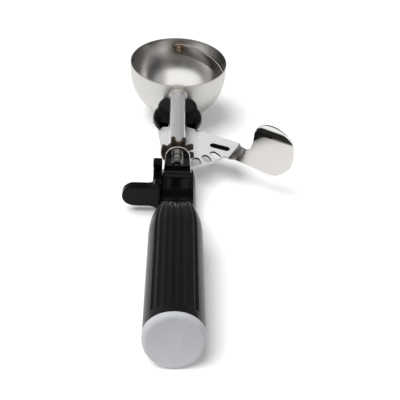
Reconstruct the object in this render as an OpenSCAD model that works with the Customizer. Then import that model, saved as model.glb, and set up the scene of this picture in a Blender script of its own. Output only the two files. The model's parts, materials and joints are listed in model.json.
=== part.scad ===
// Lever ice cream scoop: a round bowl on a tube shank, a scraper blade turned
// by a pinion, and a thumb lever whose ring of slots drives that pinion.
//
// Every piece is drawn about the centre of the bowl's sphere: the shank's axis
// runs along -Y and +Z stands square to the bowl's rim. A "station" is a
// distance behind that centre. seat() then lays the whole scoop down on its
// bowl, its neck and its end cap, with the origin in the middle of the foot.

/* [Bowl] */
// Outer radius of the bowl
bowl_r = 35.5; // [34:0.5:38]
// Thickness of the bowl's sheet
bowl_wall = 0.8; // [0.6:0.1:1.2]
// Height of the straight wall above the sphere's centre
bowl_lip = 8.5; // [6:0.5:12]
// Thickness of the saddle brazed round the joint of bowl and shank
saddle_t = 0.6; // [0.5:0.1:1.2]
// Radius of the saddle's round part
saddle_r = 6.6; // [6.4:0.1:8]
// Length of the collar that runs from the saddle onto the shank
collar_len = 3; // [2:0.5:5]

/* [Scraper] */
// Width of the scraper blade
blade_w = 8.5; // [7:0.5:10]
// Thickness of the scraper blade
blade_t = 0.8; // [0.6:0.1:1]
// Gap between the blade and the inside of the bowl
blade_gap = 0.4; // [0.3:0.05:0.6]
// How far the resting blade hangs below the level of the rim, in degrees
blade_droop = 10; // [6:1:16]
// Radius of the rivet that the far end of the blade turns on
far_rivet_r = 1.5; // [1.2:0.1:1.8]

/* [Shank] */
// Outer radius of the shank's tube
shank_r = 5.4; // [4.8:0.1:5.6]
// Wall of the shank's tube
shank_wall = 1.2; // [0.9:0.1:1.4]
// Radius of the shaft that runs inside the shank
shaft_r = 2.75; // [2.4:0.05:3]
// Length of each plain bush in the shank
bush_len = 10; // [6:1:14]
// Radius of the bush in the bracket
rear_bush_r = 3.8; // [3.5:0.1:4.2]
// How far the bush in the bracket stands out behind it
rear_bush_len = 4; // [3:0.5:5]

/* [Pinion] */
// Radius over the tips of the teeth
tooth_tip_r = 11; // [10.6:0.1:11.3]
// Radius at the root of the teeth
tooth_root_r = 7; // [6.4:0.1:7.4]
// Width of one tooth
tooth_w = 2.8; // [2.4:0.1:3]
// Width of the pinion's face
pinion_face = 3.2; // [2.8:0.1:3.6]
// Radius of the toothless sector that stops the lever
blank_r = 10; // [9.6:0.1:10.4]

/* [Lever] */
// Station of the lever's pivot, behind the rear of the bowl
pivot_set_back = 23.5; // [22.5:0.5:26]
// Radius of the ring of slots about the pivot
rack_r = 38; // [37:0.5:40]
// Thickness of the lever's plate
plate_t = 1.6; // [1.2:0.1:2]
// Depth of the plate's top face below the shaft's axis
plate_drop = 9; // [8.8:0.1:9.2]
// Width of one slot along the ring
slot_w = 4.8; // [4.5:0.1:5]
// Height of the paddle above the plate
paddle_h = 31; // [24:1:34]
// Reach of the paddle beyond the bend
paddle_reach = 41.5; // [36:0.5:46]
// Radius of the lever's pivot screw
pivot_r = 2.5; // [2:0.1:2.8]

/* [Pivot housing] */
// Radius of the housing's round body, above the lever's plate
nose_r = 16.8; // [16.2:0.2:17.4]
// Radius of the body's rounded edges
nose_edge = 3; // [2:0.5:3]
// Radius of the housing's base, below the lever's plate
base_r = 13.5; // [12.5:0.5:14.5]
// Radius of the smaller round step between the body and the bowl
step_r = 13.8; // [13:0.2:14.6]
// Depth of the housing's underside below the shaft's axis
nose_drop = 17; // [16.6:0.2:18]
// Wire thickness of the lever's return spring
spring_wire = 1; // [0.8:0.1:1.1]

/* [Frame] */
// Width of the steel arm under the lever
arm_w = 12; // [10:1:13]
// Thickness of the steel arm
arm_t = 3; // [2:0.5:3]
// Thickness of the bracket that holds the rear end of the shaft
bracket_t = 1.5; // [1.2:0.1:1.8]
// Radius of the bracket's round top
bracket_r = 7.6; // [7.2:0.1:8]
// Radius of the threaded end of the arm
stud_r = 3; // [2.5:0.5:4]

/* [Neck] */
// Length of the neck block
neck_len = 52; // [48:1:56]
// Width of the neck block at its top
neck_w = 19.4; // [18.6:0.2:21]
// Extra width of the neck block at its foot, on each side
neck_flare = 1.6; // [1:0.2:2.4]
// Depth of the neck's top face below the shaft's axis
neck_drop = 10.5; // [10:0.1:10.9]
// Length of the flat foot
foot_len = 31; // [26:1:34]
// Reach of the thumb rest to the side
rest_reach = 32.4; // [28:0.1:38]
// Height of the thumb rest
rest_h = 15; // [12:0.5:15]
// Thickness of the thumb rest
rest_t = 5.5; // [4:0.5:7]

/* [Grip] */
// Radius of the grip
grip_r = 14.4; // [13.5:0.1:15]
// Length of the grip
grip_len = 84; // [76:1:100]
// Length of the rounded front of the grip
grip_dome = 26.5; // [22:0.5:30]
// Number of finger grooves
groove_count = 7; // [5:2:7]
// Angle from one groove to the next
groove_pitch = 14.4; // [13:0.1:15]
// Radius of a groove's round bottom
groove_r = 1.3; // [1:0.1:1.6]
// Depth of a groove
groove_depth = 0.9; // [0.5:0.1:1.1]
// Radius of the end cap
cap_r = 14.5; // [13.5:0.1:15]
// Length of the end cap along its middle
cap_len = 6.5; // [6:0.5:9]
// Slant of the end cap's face, turned up by this angle
cap_slant = 20; // [0:1:22]
// Radius of the end cap's soft edge
cap_edge = 2.5; // [1.5:0.5:3]

/* [Fits] */
// Radial clearance of a turning fit
run_fit = 0.05; // [0.02:0.01:0.08]
// End play of the turning pieces
end_play = 0.4; // [0.3:0.05:0.5]
// Space left between the moving plate and what it passes
plate_clear = 0.5; // [0.4:0.05:0.6]

/* [Hidden] */
$fn = 64;
flange_t = 0.8;        // flanges of the bushes

// Scraper blade
blade_out_r = bowl_r - bowl_wall - blade_gap;
blade_in_r = blade_out_r - blade_t;
tab_face = blade_out_r - 0.1;          // spot face outside the near tab
spigot_r = shaft_r - 0.75;             // stepped end of the shaft in the blade
rivet_head_r = far_rivet_r + 1.1;
rivet_head_t = 0.8;

// Stations along the shaft
collar_r = shank_r + saddle_t;
bush_r = shank_r - shank_wall;
bush_front = bowl_r - bowl_wall + 0.05;
pivot_at = bowl_r + pivot_set_back;
pinion_at = pivot_at + rack_r - pinion_face / 2;
tube_end = pinion_at - end_play - flange_t;
sector_rim = 4.5;      // steel left outside the ring of slots
sector_r = rack_r + sector_rim;
bracket_at = pivot_at + sector_r + plate_clear;
hub_end = bracket_at - flange_t - end_play;
hub_r = 5;
hub_pin_r = 0.8;
hub_pin_at = (pinion_at + pinion_face + hub_end) / 2;
rear_bush_end = bracket_at + bracket_t + rear_bush_len;
ring_t = 0.8;
ring_at = rear_bush_end + end_play;
shaft_end = ring_at + ring_t + 0.8;

// Pinion and the ring of slots: tooth_pitch turns with slot_pitch
tooth_pitch = 40;
tooth_count = 6;
first_tooth = -15.5;
blank_from = 152;      // the toothless sector, in degrees round the shaft
blank_to = 235;
mesh_r = plate_drop + plate_t * 0.6;
slot_pitch = tooth_pitch * mesh_r / rack_r;
slot_phase = (180 - (first_tooth + 5 * tooth_pitch)) * slot_pitch / tooth_pitch;
slot_len = 7;
slot_growth = 0.3;     // each slot is this much longer than the one before
slot_count = 5;

// Lever plate, with the pivot as its origin and +Y towards the bowl
plate_top = -plate_drop;
plate_bottom = -plate_drop - plate_t;
ear_r = 6.5;
left_far = [-10.1, 0];
left_near = [-12.9, -4.5];
left_rear = rack_r * [-0.1816, -1.1842];
notch = [-5, -6];
right_far = [6.6, 0.5];
bend_far = rack_r * [1.0842, -0.4553];
bend_near = rack_r * [0.8816, -0.8132];
bend_corner = bend_far + [0.3, 2.3];
arc_end = 46;          // where the plate's arc ends, in degrees from the shank's axis
end_slot_at = rack_r * [0.7158, -0.5842];
end_slot_turn = 34;
end_slot_w = 3.8;
end_slot_len = 12.6;
bend_len = norm(bend_far - bend_near);
bend_dir = (bend_far - bend_near) / bend_len;
reach_dir = [bend_dir[1], -bend_dir[0]];

// Paddle: distance past the bend, lowest and highest point up its face
paddle_lean = 90;      // lean of the upright face from level, in degrees
twist_end = 11;        // the strip is upright from here on
paddle_neck_h = 9.8;   // width of the strip between the bend and the paddle
paddle_neck_at = 7;    // it has narrowed to that here
paddle_flare = 4;      // and widens again over this length
paddle_bend_r = 65;    // the top curls back on this radius
paddle_flat_h = 12;
paddle_side = 14;      // the paddle's near side
sheet_rows = 10;

// Housing under the shank
nose_at = bowl_r + nose_r + 0.5;
nose_top = -2.2;
step_at = nose_at - 9.4;
step_top = -1.5;
step_edge = 2;
base_lap = 1;          // the base reaches this far into the body
bowl_clear = 0.3;      // space between the housing and the saddle
slot_top = plate_top + 0.3;
slot_bottom = plate_bottom - 0.3;
slot_r = norm(left_near) + 1.2;
boss_r = 8.8;
pocket_r = 6.8;
pocket_floor = -nose_drop + 1.2;
spacer_r = pivot_r + 1.1;
washer_r = 4.5;
upper_end = 57;        // station where the upper half of the housing stops
tongue_w = 9;
tongue_len = 7;
tongue_top = -3;
screw_r = 1.5;
screw_head_r = 2.8;
screw_head_t = 1.6;

// Steel arm: a strip that rises from under the housing to the grip's axis
arm_top = -nose_drop;
arm_front = pivot_at - 15;
neck_at = bracket_at - 3;
grip_at = neck_at + 42.5;
arm_rise_at = neck_at + 24;
arm_level_at = grip_at + 26;
arm_end = grip_at + grip_len - 26;
stud_end = grip_at + grip_len - 5;
housing_screw_at = arm_front + 4;
bracket_foot_len = 9;
bracket_screw_at = bracket_at + bracket_t + 5;
bracket_screw_x = 3.2;
bracket_mid_x = 0.5;
bracket_leg_drop = 14;

// Grip and end cap
cap_at = grip_at + grip_len;
spigot_len = 0.6 * cap_len;
cap_spigot_r = 0.69 * cap_r;
cap_rake = tan(cap_slant);
chamber_r = 9;
chamber_len = 13;
grip_slope_r = 1.8 * grip_r;           // slopes the top of the grip's front
grip_slope_at = grip_at + 0.96 * grip_dome;
groove_front = 0.185 * grip_len;       // where the middle groove starts and ends
groove_back = 0.07 * grip_len;
groove_taper = 2;      // each groove starts this much behind the one nearer the middle

// The scoop lies on the bowl, the neck's foot and the end cap's edge
cap_edge_mid = cap_r - cap_edge;
cap_edge_at = cap_at + cap_len - cap_edge + cap_rake * cap_edge_mid;
rest_span = norm([cap_edge_at, cap_edge_mid]);

// Reach of the cap's raked edge towards the table at a tilt, and the tilt for a reach
function edge_reach(tilt) = cap_edge * norm([sin(tilt), cos(tilt) + cap_rake * sin(tilt)]);
function tilt_for(reach) = atan2(cap_edge_at, cap_edge_mid) - acos((bowl_r - reach) / rest_span);
rest_tilt = tilt_for(edge_reach(tilt_for(edge_reach(tilt_for(cap_edge)))));
foot_mid_at = neck_at + foot_len / 2;
foot_z = (foot_mid_at * sin(rest_tilt) - bowl_r) / cos(rest_tilt);
foot_row_y = -foot_mid_at * cos(rest_tilt) - foot_z * sin(rest_tilt);

neck_mid_x = 0.9;
ledge_len = 9.5;
ledge_drop = 2;
panel_at = neck_at + 10;
panel_len = 9;
panel_rim = 2;
panel_depth = 0.6;
dip_at = neck_at + 27;
dip_r = 10;
dip_depth = 2;
rest_at = neck_at + 21;
rest_mid = -12.8;
hook_at = neck_at + 5;
hook_w = 5.5;
hook_len = 6;

// Lays the scoop down: tilts it and puts the foot's middle at the origin
module seat() {
    translate([0, -foot_row_y, bowl_r]) rotate([rest_tilt, 0, 0]) children();
}

// Draws children so that their +Z runs backwards from the given station
module along(station) {
    translate([0, -station, 0]) rotate([90, 0, 0]) children();
}

module rod(r, from, to) {
    along(from) cylinder(r = r, h = to - from);
}

// Everything below the table, as a cutter
module below_table() {
    rotate([-rest_tilt, 0, 0]) translate([-200, -400, -bowl_r - 100]) cube([400, 800, 100]);
}

// The bowl's outer or inner form
module bowl_form(r, top) {
    intersection() {
        sphere(r = r, $fn = 128);
        translate([-r, -r, -r]) cube([2 * r, 2 * r, r]);
    }
    cylinder(r = r, h = top, $fn = 128);
}

module bowl() {
    color("gainsboro") difference() {
        bowl_form(bowl_r, bowl_lip);
        bowl_form(bowl_r - bowl_wall, bowl_lip + 1);
        rod(bush_r, bowl_r - 3, bowl_r + 1);
        rod(far_rivet_r, -bowl_r - 1, -bowl_r + 3);
    }
}

module bowl_saddle() {
    color("gainsboro") difference() {
        union() {
            intersection() {
                bowl_form(bowl_r + saddle_t, bowl_lip);
                union() {
                    rod(saddle_r, bowl_r - 3, bowl_r + 2);
                    translate([-saddle_r / 2, -bowl_r - 2, 0]) cube([saddle_r, 5, bowl_lip - 0.5]);
                }
            }
            rod(collar_r, bowl_r - 1, bowl_r + collar_len);
        }
        bowl_form(bowl_r, bowl_lip + 1);
        rod(shank_r, bowl_r - 4, bowl_r + 4);
    }
}

module far_rivet() {
    color("peru") {
        rod(far_rivet_r, -bowl_r, -blade_in_r + 0.25);
        rod(rivet_head_r, -blade_in_r + 0.25, -blade_in_r + 0.25 + rivet_head_t);
        rod(rivet_head_r, -bowl_r - rivet_head_t, -bowl_r);
    }
}

module shank_tube() {
    color("silver") difference() {
        rod(shank_r, bowl_r - 2, tube_end);
        rod(bush_r, bowl_r - 3, tube_end + 1);
        bowl_form(bowl_r, bowl_lip + 1);
    }
}

module front_bush() {
    color("goldenrod") difference() {
        rod(bush_r, bush_front, bush_front + bush_len);
        rod(shaft_r + run_fit, bush_front - 1, bush_front + bush_len + 1);
    }
}

module middle_bush() {
    color("goldenrod") difference() {
        union() {
            rod(bush_r, tube_end - bush_len, tube_end);
            rod(shank_r, tube_end, tube_end + flange_t);
        }
        rod(shaft_r + run_fit, tube_end - bush_len - 1, tube_end + flange_t + 1);
    }
}

// The bracket: a round-topped plate with a foot bent back over the arm
module bracket_form() {
    leg = bracket_leg_drop;
    translate([bracket_mid_x, 0, 0]) along(bracket_at) linear_extrude(bracket_t) {
        translate([0, 1]) circle(r = bracket_r);
        polygon([
            [-bracket_r, 1], [-bracket_r - 1.4, -leg], [-arm_w / 2, -leg], [-arm_w / 2, arm_top],
            [arm_w / 2, arm_top], [arm_w / 2, -leg], [bracket_r + 1.4, -leg], [bracket_r, 1]
        ]);
    }
    translate([bracket_mid_x - arm_w / 2, -bracket_at - bracket_t - bracket_foot_len, arm_top])
        cube([arm_w, bracket_foot_len + bracket_t, bracket_t]);
}

module rear_bracket() {
    color("silver") difference() {
        bracket_form();
        rod(rear_bush_r, bracket_at - 1, bracket_at + bracket_t + 1);
        bracket_screw_rods(screw_r);
    }
}

module rear_bush() {
    color("dimgray") difference() {
        union() {
            rod(rear_bush_r + 1, bracket_at - flange_t, bracket_at);
            rod(rear_bush_r, bracket_at, rear_bush_end);
        }
        rod(shaft_r + run_fit, bracket_at - flange_t - 1, rear_bush_end + 1);
    }
}

// Upright rods where the two bracket screws go
module bracket_screw_rods(r) {
    for (side = [-1, 1])
        translate([bracket_mid_x + side * bracket_screw_x, -bracket_screw_at, arm_top - arm_t])
            cylinder(r = r, h = arm_t + bracket_t);
}

// The screws' heads, or the wells that reach them from the foot
module bracket_screw_heads(r, depth) {
    for (side = [-1, 1])
        translate([bracket_mid_x + side * bracket_screw_x, -bracket_screw_at, arm_top - arm_t - depth])
            cylinder(r = r, h = depth);
}

module bracket_screws() {
    color("silver") {
        bracket_screw_rods(screw_r);
        bracket_screw_heads(screw_head_r, screw_head_t);
    }
}

// A round block whose top edge is rounded
module soft_top(r, low, high, edge) {
    rotate_extrude($fn = 96) {
        translate([0, low]) square([r, high - edge - low]);
        translate([0, low]) square([r - edge, high - low]);
        translate([r - edge, high - edge]) circle(r = edge);
    }
}

// The housing before the plate's slot is cut: body, step, base and the boss round the pivot
module nose_form() {
    translate([0, -nose_at, 0]) {
        soft_top(nose_r, slot_top, nose_top, nose_edge);
        mirror([0, 0, 1]) soft_top(base_r, -slot_top - base_lap, nose_drop, nose_edge);
    }
    translate([0, -step_at, 0]) soft_top(step_r, slot_top, step_top, step_edge);
    translate([0, -pivot_at, -nose_drop]) cylinder(r = boss_r, h = nose_drop + slot_top);
}

module pivot_housing() {
    color([0.06, 0.06, 0.06]) difference() {
        union() {
            difference() {
                nose_form();
                translate([-nose_r - 1, -upper_end - 20, slot_bottom])
                    cube([2 * nose_r + 2, 20, nose_drop]);
            }
            translate([-tongue_w / 2, -upper_end - tongue_len, slot_top])
                cube([tongue_w, tongue_len + 3, tongue_top - slot_top]);
        }
        translate([0, -pivot_at, slot_bottom]) cylinder(r = slot_r, h = slot_top - slot_bottom);
        rod(shank_r, bowl_r - 5, upper_end + tongue_len + 5);
        rod(collar_r + bowl_clear, bowl_r - 5, bowl_r + collar_len + bowl_clear);
        bowl_form(bowl_r + saddle_t + bowl_clear, bowl_lip);
        translate([0, -pivot_at, pocket_floor]) cylinder(r = pocket_r, h = slot_bottom - pocket_floor + 1);
        translate([0, -pivot_at, -nose_drop - 1]) cylinder(r = pivot_r, h = nose_drop - 5);
        translate([0, -housing_screw_at, arm_top - 1]) cylinder(r = screw_r, h = 5.5);
    }
}

module pivot_screw() {
    color("silver") translate([0, -pivot_at, arm_top - arm_t]) difference() {
        union() {
            cylinder(r = pivot_r, h = arm_t + nose_drop - 6);
            translate([0, 0, -screw_head_t]) cylinder(r = pivot_r + 1.8, h = screw_head_t);
        }
        translate([0, 0, -screw_head_t - 1]) cylinder(r = pivot_r - 0.8, h = 2, $fn = 6);
    }
}

module pivot_spacer() {
    color("goldenrod") translate([0, -pivot_at, pocket_floor]) difference() {
        cylinder(r = spacer_r, h = plate_bottom - pocket_floor);
        translate([0, 0, -1]) cylinder(r = pivot_r, h = 10);
    }
}

module pivot_washer() {
    color("goldenrod") translate([0, -pivot_at, plate_top]) difference() {
        cylinder(r = washer_r, h = slot_top - plate_top);
        translate([0, 0, -1]) cylinder(r = pivot_r, h = 3);
    }
}

// Return spring: a coil round the spacer with a short straight end at each side
spring_turns = 3;
spring_steps = 20;
spring_r = (spacer_r + pocket_r) / 2;
spring_low = pocket_floor + spring_wire / 2 + 0.1;
spring_rise = slot_bottom - pocket_floor - spring_wire - 0.4;
spring_sides = 8;

function spring_point(i) =
    let (a = 360 * i / spring_steps)
    [spring_r * cos(a), spring_r * sin(a), spring_low + spring_rise * i / (spring_turns * spring_steps)];

module lever_spring() {
    rings = spring_turns * spring_steps;
    points = [for (i = [0 : rings], k = [0 : spring_sides - 1])
        let (a = 360 * i / spring_steps, b = 360 * k / spring_sides, w = spring_wire / 2)
        spring_point(i) + [w * cos(b) * cos(a), w * cos(b) * sin(a), w * sin(b)]];
    sides = [for (i = [0 : rings - 1], k = [0 : spring_sides - 1])
        let (n = (k + 1) % spring_sides, a = i * spring_sides, b = a + spring_sides)
        each [[a + k, b + k, b + n], [a + k, b + n, a + n]]];
    caps = [[for (k = [0 : spring_sides - 1]) k],
        [for (k = [spring_sides - 1 : -1 : 0]) rings * spring_sides + k]];
    color("silver") translate([0, -pivot_at, 0]) polyhedron(points, concat(sides, caps));
}

// Side profile of the arm as a strip, one point per bend, then its other face
module arm_form() {
    translate([-arm_w / 2, 0, 0]) rotate([90, 0, 90]) linear_extrude(arm_w) polygon([
        [-arm_front, arm_top], [-arm_rise_at, arm_top], [-arm_level_at, arm_t / 2], [-arm_end, arm_t / 2],
        [-arm_end, -arm_t / 2], [-arm_level_at, -arm_t / 2], [-arm_rise_at, arm_top - arm_t],
        [-arm_front, arm_top - arm_t]
    ]);
    rod(stud_r, arm_end - 6, stud_end);
}

module frame_arm() {
    color("silver") difference() {
        arm_form();
        translate([0, -pivot_at, arm_top - arm_t - 1]) cylinder(r = pivot_r, h = arm_t + 2);
        translate([0, -housing_screw_at, arm_top - arm_t - 1]) cylinder(r = screw_r, h = arm_t + 2);
        bracket_screw_rods(screw_r);
    }
}

module housing_screw() {
    color("silver") translate([0, -housing_screw_at, arm_top - arm_t]) {
        cylinder(r = screw_r, h = arm_t + 4);
        translate([0, 0, -screw_head_t]) cylinder(r = screw_head_r, h = screw_head_t);
    }
}

// Plan of the neck, wider at the foot than at the top
module neck_slab(width, from, to, low, high) {
    translate([neck_mid_x - width / 2, -to, low]) cube([width, to - from, high - low]);
}

module neck_form() {
    foot_end = neck_at + foot_len;
    top = -neck_drop;
    wide = neck_w + 2 * neck_flare;
    intersection() {
        // seen from the front: straight sides that flare out towards the foot
        along(neck_at) linear_extrude(neck_len) translate([neck_mid_x, 0]) polygon([
            [-neck_w / 2, grip_r], [-neck_w / 2, top - 3], [-wide / 2, top - 9], [-wide / 2, -60],
            [wide / 2, -60], [wide / 2, top - 9], [neck_w / 2, top - 3], [neck_w / 2, grip_r]
        ]);
        // seen from the side: ledge, deck, heel under the grip, sloping underside
        translate([neck_mid_x - wide, 0, 0]) rotate([90, 0, 90]) linear_extrude(2 * wide) polygon([
            [-neck_at, top - ledge_drop], [-neck_at - ledge_len, top - ledge_drop],
            [-neck_at - ledge_len, top], [-grip_at + 9, top], [-grip_at, -4],
            [-neck_at - neck_len, -4], [-neck_at - neck_len, -grip_r - 1],
            [-foot_end, -60], [-neck_at, -60]
        ]);
    }
}

// The grip's outer form: a rod with a dome in front, its top sloped off
module grip_form() {
    intersection() {
        union() {
            along(grip_at) rotate_extrude($fn = 96) dome_profile();
            rod(grip_r, grip_at + grip_dome, cap_at);
        }
        translate([-grip_r, 0, 0]) rotate([90, 0, 90]) linear_extrude(2 * grip_r) {
            translate([-grip_slope_at, grip_r - grip_slope_r]) circle(r = grip_slope_r, $fn = 128);
            translate([-cap_at - 1, -2 * grip_r]) square([cap_at + 1 - grip_slope_at, 4 * grip_r]);
        }
    }
}

// Half of an ellipse, turned into the dome
module dome_profile() {
    steps = 12;
    polygon([
        for (i = [0 : steps]) [grip_r * sin(90 * i / steps), grip_dome * (1 - cos(90 * i / steps))],
        [0, grip_dome]
    ]);
}

module handle_neck() {
    color([0.05, 0.05, 0.05]) difference() {
        neck_form();
        below_table();
        grip_form();
        arm_form();
        bracket_form();
        bracket_screw_rods(screw_r);
        bracket_screw_heads(screw_head_r, 20);
        // deck: a shallow dark panel, a ridge behind it and a saddle before the grip
        translate([neck_mid_x - neck_w / 2 + panel_rim, -panel_at - panel_len, -neck_drop - panel_depth])
            cube([neck_w - 2 * panel_rim, panel_len, 2 * panel_depth]);
        translate([neck_mid_x - neck_w, -dip_at, -neck_drop + dip_r - dip_depth]) rotate([0, 90, 0])
            cylinder(r = dip_r, h = 2 * neck_w);
    }
}

// Thumb rest: an upright plate with a round end, and a hook that stands before it
module thumb_rest() {
    side = neck_mid_x - neck_w / 2;
    color([0.05, 0.05, 0.05]) difference() {
        union() {
            along(rest_at) linear_extrude(rest_t) {
                translate([-rest_reach + rest_h / 2, rest_mid]) circle(r = rest_h / 2);
                translate([-rest_reach + rest_h / 2, rest_mid - rest_h / 2])
                    square([rest_reach - rest_h / 2 + side, rest_h]);
            }
            translate([side - hook_w, 0, 0]) rotate([90, 0, 90]) linear_extrude(hook_w) polygon([
                [-hook_at, 0.5], [-hook_at - hook_len, 0.5], [-hook_at - hook_len, -3],
                [-hook_at - hook_len + 2, -5], [-hook_at - hook_len + 2, rest_mid + rest_h / 2 - 3],
                [-rest_at - 1, rest_mid + rest_h / 2 - 1], [-rest_at - 1, rest_mid - rest_h / 2 + 1],
                [-hook_at, rest_mid - 2]
            ]);
        }
        neck_form();
        below_table();
    }
}

// One groove: a round-bottomed slot with ball ends
module groove(i) {
    from_mid = abs(i - (groove_count - 1) / 2);
    front = grip_at + groove_front + from_mid * groove_taper;
    back = cap_at - groove_back + from_mid * groove_taper / 3;
    rotate([0, (i - (groove_count - 1) / 2) * groove_pitch, 0])
        translate([0, 0, grip_r + groove_r - groove_depth]) {
            rod(groove_r, front, back);
            translate([0, -front, 0]) sphere(r = groove_r, $fn = 32);
            translate([0, -back, 0]) sphere(r = groove_r, $fn = 32);
        }
}

module handle_grip() {
    color([0.08, 0.08, 0.08]) difference() {
        grip_form();
        arm_form();
        for (i = [0 : groove_count - 1]) groove(i);
        rod(chamber_r, cap_at - spigot_len - chamber_len, cap_at + 1);
        rod(cap_spigot_r, cap_at - spigot_len, cap_at + 1);
    }
}

module grip_washer() {
    seat_at = cap_at - spigot_len - chamber_len;
    color("silver") difference() {
        rod(chamber_r - 1, seat_at, seat_at + 1.2);
        rod(stud_r, seat_at - 1, seat_at + 2);
    }
}

module grip_nut() {
    seat_at = cap_at - spigot_len - chamber_len + 1.2;
    color("silver") difference() {
        along(seat_at) cylinder(r = stud_r * 1.9, h = 5, $fn = 6);
        rod(stud_r, seat_at - 1, seat_at + 6);
    }
}

module end_cap() {
    color([0.68, 0.69, 0.7]) {
        intersection() {
            multmatrix([[1, 0, 0, 0], [0, 1, cap_rake, 0], [0, 0, 1, 0], [0, 0, 0, 1]])
                along(cap_at - cap_r) rotate_extrude($fn = 96) {
                    square([cap_r, cap_r + cap_len - cap_edge]);
                    square([cap_r - cap_edge, cap_r + cap_len]);
                    translate([cap_r - cap_edge, cap_r + cap_len - cap_edge]) circle(r = cap_edge);
                }
            rod(2 * cap_r, cap_at, cap_at + 2 * cap_r);
        }
        rod(cap_spigot_r, cap_at - spigot_len, cap_at);
    }
}

module sweep_shaft() {
    color("silver") difference() {
        union() {
            rod(shaft_r, tab_face, shaft_end);
            rod(spigot_r, blade_in_r, tab_face);
            rod(spigot_r + 1.2, blade_in_r - 1, blade_in_r);
        }
        translate([0, -hub_pin_at, -hub_r]) cylinder(r = hub_pin_r, h = 2 * hub_r);
        difference() {
            rod(shaft_r + 1, ring_at, ring_at + ring_t);
            rod(shaft_r - 0.5, ring_at - 1, ring_at + ring_t + 1);
        }
    }
}

// The blade is a band of a hollow ball, from the near tab round to the far one
module scraper_blade() {
    color("gainsboro") rotate([0, blade_droop, 0]) difference() {
        intersection() {
            sphere(r = blade_out_r, $fn = 128);
            union() {
                translate([0, -bowl_r, -blade_w / 2]) cube([bowl_r, 2 * bowl_r, blade_w]);
                rod(blade_w / 2, -bowl_r, bowl_r);
            }
        }
        sphere(r = blade_in_r, $fn = 128);
        rod(spigot_r, 0, bowl_r);
        rod(spigot_r + 1.5, tab_face, bowl_r);
        rod(spigot_r + 1.5, 0, blade_in_r);
        rod(far_rivet_r + run_fit, -bowl_r, 0);
    }
}

// One tooth of the pinion, pointing up
module tooth() {
    translate([-tooth_w / 2, 0]) square([tooth_w, tooth_tip_r - tooth_w / 2]);
    translate([0, tooth_tip_r - tooth_w / 2]) circle(r = tooth_w / 2);
}

module pinion() {
    color([0.13, 0.11, 0.1]) difference() {
        union() {
            along(pinion_at) linear_extrude(pinion_face) {
                circle(r = tooth_root_r);
                for (i = [0 : tooth_count - 1]) rotate(-first_tooth - i * tooth_pitch) tooth();
                intersection() {
                    circle(r = blank_r);
                    polygon([[0, 0], for (a = [blank_from, (blank_from + blank_to) / 2, blank_to])
                        2 * blank_r * [cos(a), sin(a)]]);
                }
            }
            rod(hub_r, pinion_at + pinion_face, hub_end);
        }
        rod(shaft_r, pinion_at - 1, hub_end + 1);
        translate([0, -hub_pin_at, -hub_r - 1]) cylinder(r = hub_pin_r, h = 2 * hub_r + 2);
    }
}

module pinion_pin() {
    color("silver") translate([0, -hub_pin_at, -hub_r + 0.3]) cylinder(r = hub_pin_r, h = 2 * hub_r - 0.6);
}

module retaining_ring() {
    color("dimgray") difference() {
        rod(shaft_r + 0.8, ring_at, ring_at + ring_t);
        rod(shaft_r - 0.5, ring_at - 1, ring_at + ring_t + 1);
    }
}

// One slot of the rack, longer the farther it is from the first
module rack_slot(i) {
    half = (slot_len + i * slot_growth - slot_w) / 2;
    rotate(slot_phase + i * slot_pitch) {
        for (end = [-1, 1]) translate([0, -rack_r + end * half]) circle(r = slot_w / 2);
        translate([-slot_w / 2, -rack_r - half]) square([slot_w, 2 * half]);
    }
}

// The slanted slot beyond the last one
module end_slot() {
    half = (end_slot_len - end_slot_w) / 2;
    translate(end_slot_at) rotate(end_slot_turn) {
        for (end = [-1, 1]) translate([0, end * half]) circle(r = end_slot_w / 2);
        translate([-end_slot_w / 2, -half]) square([end_slot_w, 2 * half]);
    }
}

module plate_outline() {
    difference() {
        union() {
            circle(r = ear_r);
            intersection() {
                polygon([
                    left_far, left_near, left_rear, bend_near - 22 * bend_dir, bend_near, bend_far,
                    bend_corner, right_far, [0, 0], notch
                ]);
                union() {
                    circle(r = sector_r, $fn = 128);
                    polygon([[0, 0], sector_r * [sin(arc_end), -cos(arc_end)], bend_near, bend_far,
                        bend_corner, [bend_far[0] / 2, 0]]);
                }
            }
        }
        circle(r = pivot_r + run_fit);
        for (i = [0 : slot_count - 1]) rack_slot(i);
        end_slot();
    }
}

// Lowest and highest point of the paddle at each distance past the bend,
// as shares of its reach and of its height
low_edge = [[0, 0], [0.2, -0.01], [0.37, -0.038], [0.57, -0.063], [0.69, -0.06], [0.79, -0.028],
    [0.86, 0.045], [0.94, 0.16], [0.985, 0.28], [1, 0.4]];
top_edge = [[0.345, 0.84], [0.37, 0.92], [0.405, 0.96], [0.48, 0.985], [0.56, 1.005], [0.63, 1.003],
    [0.71, 0.99], [0.8, 0.945], [0.855, 0.9], [0.9, 0.84], [0.94, 0.76], [0.98, 0.63], [1, 0.47]];

function share(table, x) = lookup(x, table);
function twist(t) = let (u = max(0, min(1, t / twist_end))) paddle_lean * u * u * (3 - 2 * u);
function strip_h(t) = paddle_neck_h
    + (bend_len - paddle_neck_h) * pow(1 - max(0, min(1, t / paddle_neck_at)), 2)
    + 0.3 * pow(max(0, t - paddle_side + paddle_flare), 2);
function low_at(t) = paddle_h * share(low_edge, t / paddle_reach);
function high_at(t) =
    t <= paddle_side ? strip_h(t) : paddle_h * share(top_edge, t / paddle_reach);

// The sheet starts inside the plate, a hair smaller than it, and soon has its full size
root_sink = 0.6;
root_rise = 0.3;
root_inset = 0.05;

function inset(t) = t < root_rise ? root_inset * (root_rise - t) / (root_rise + root_sink) : 0;

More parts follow.
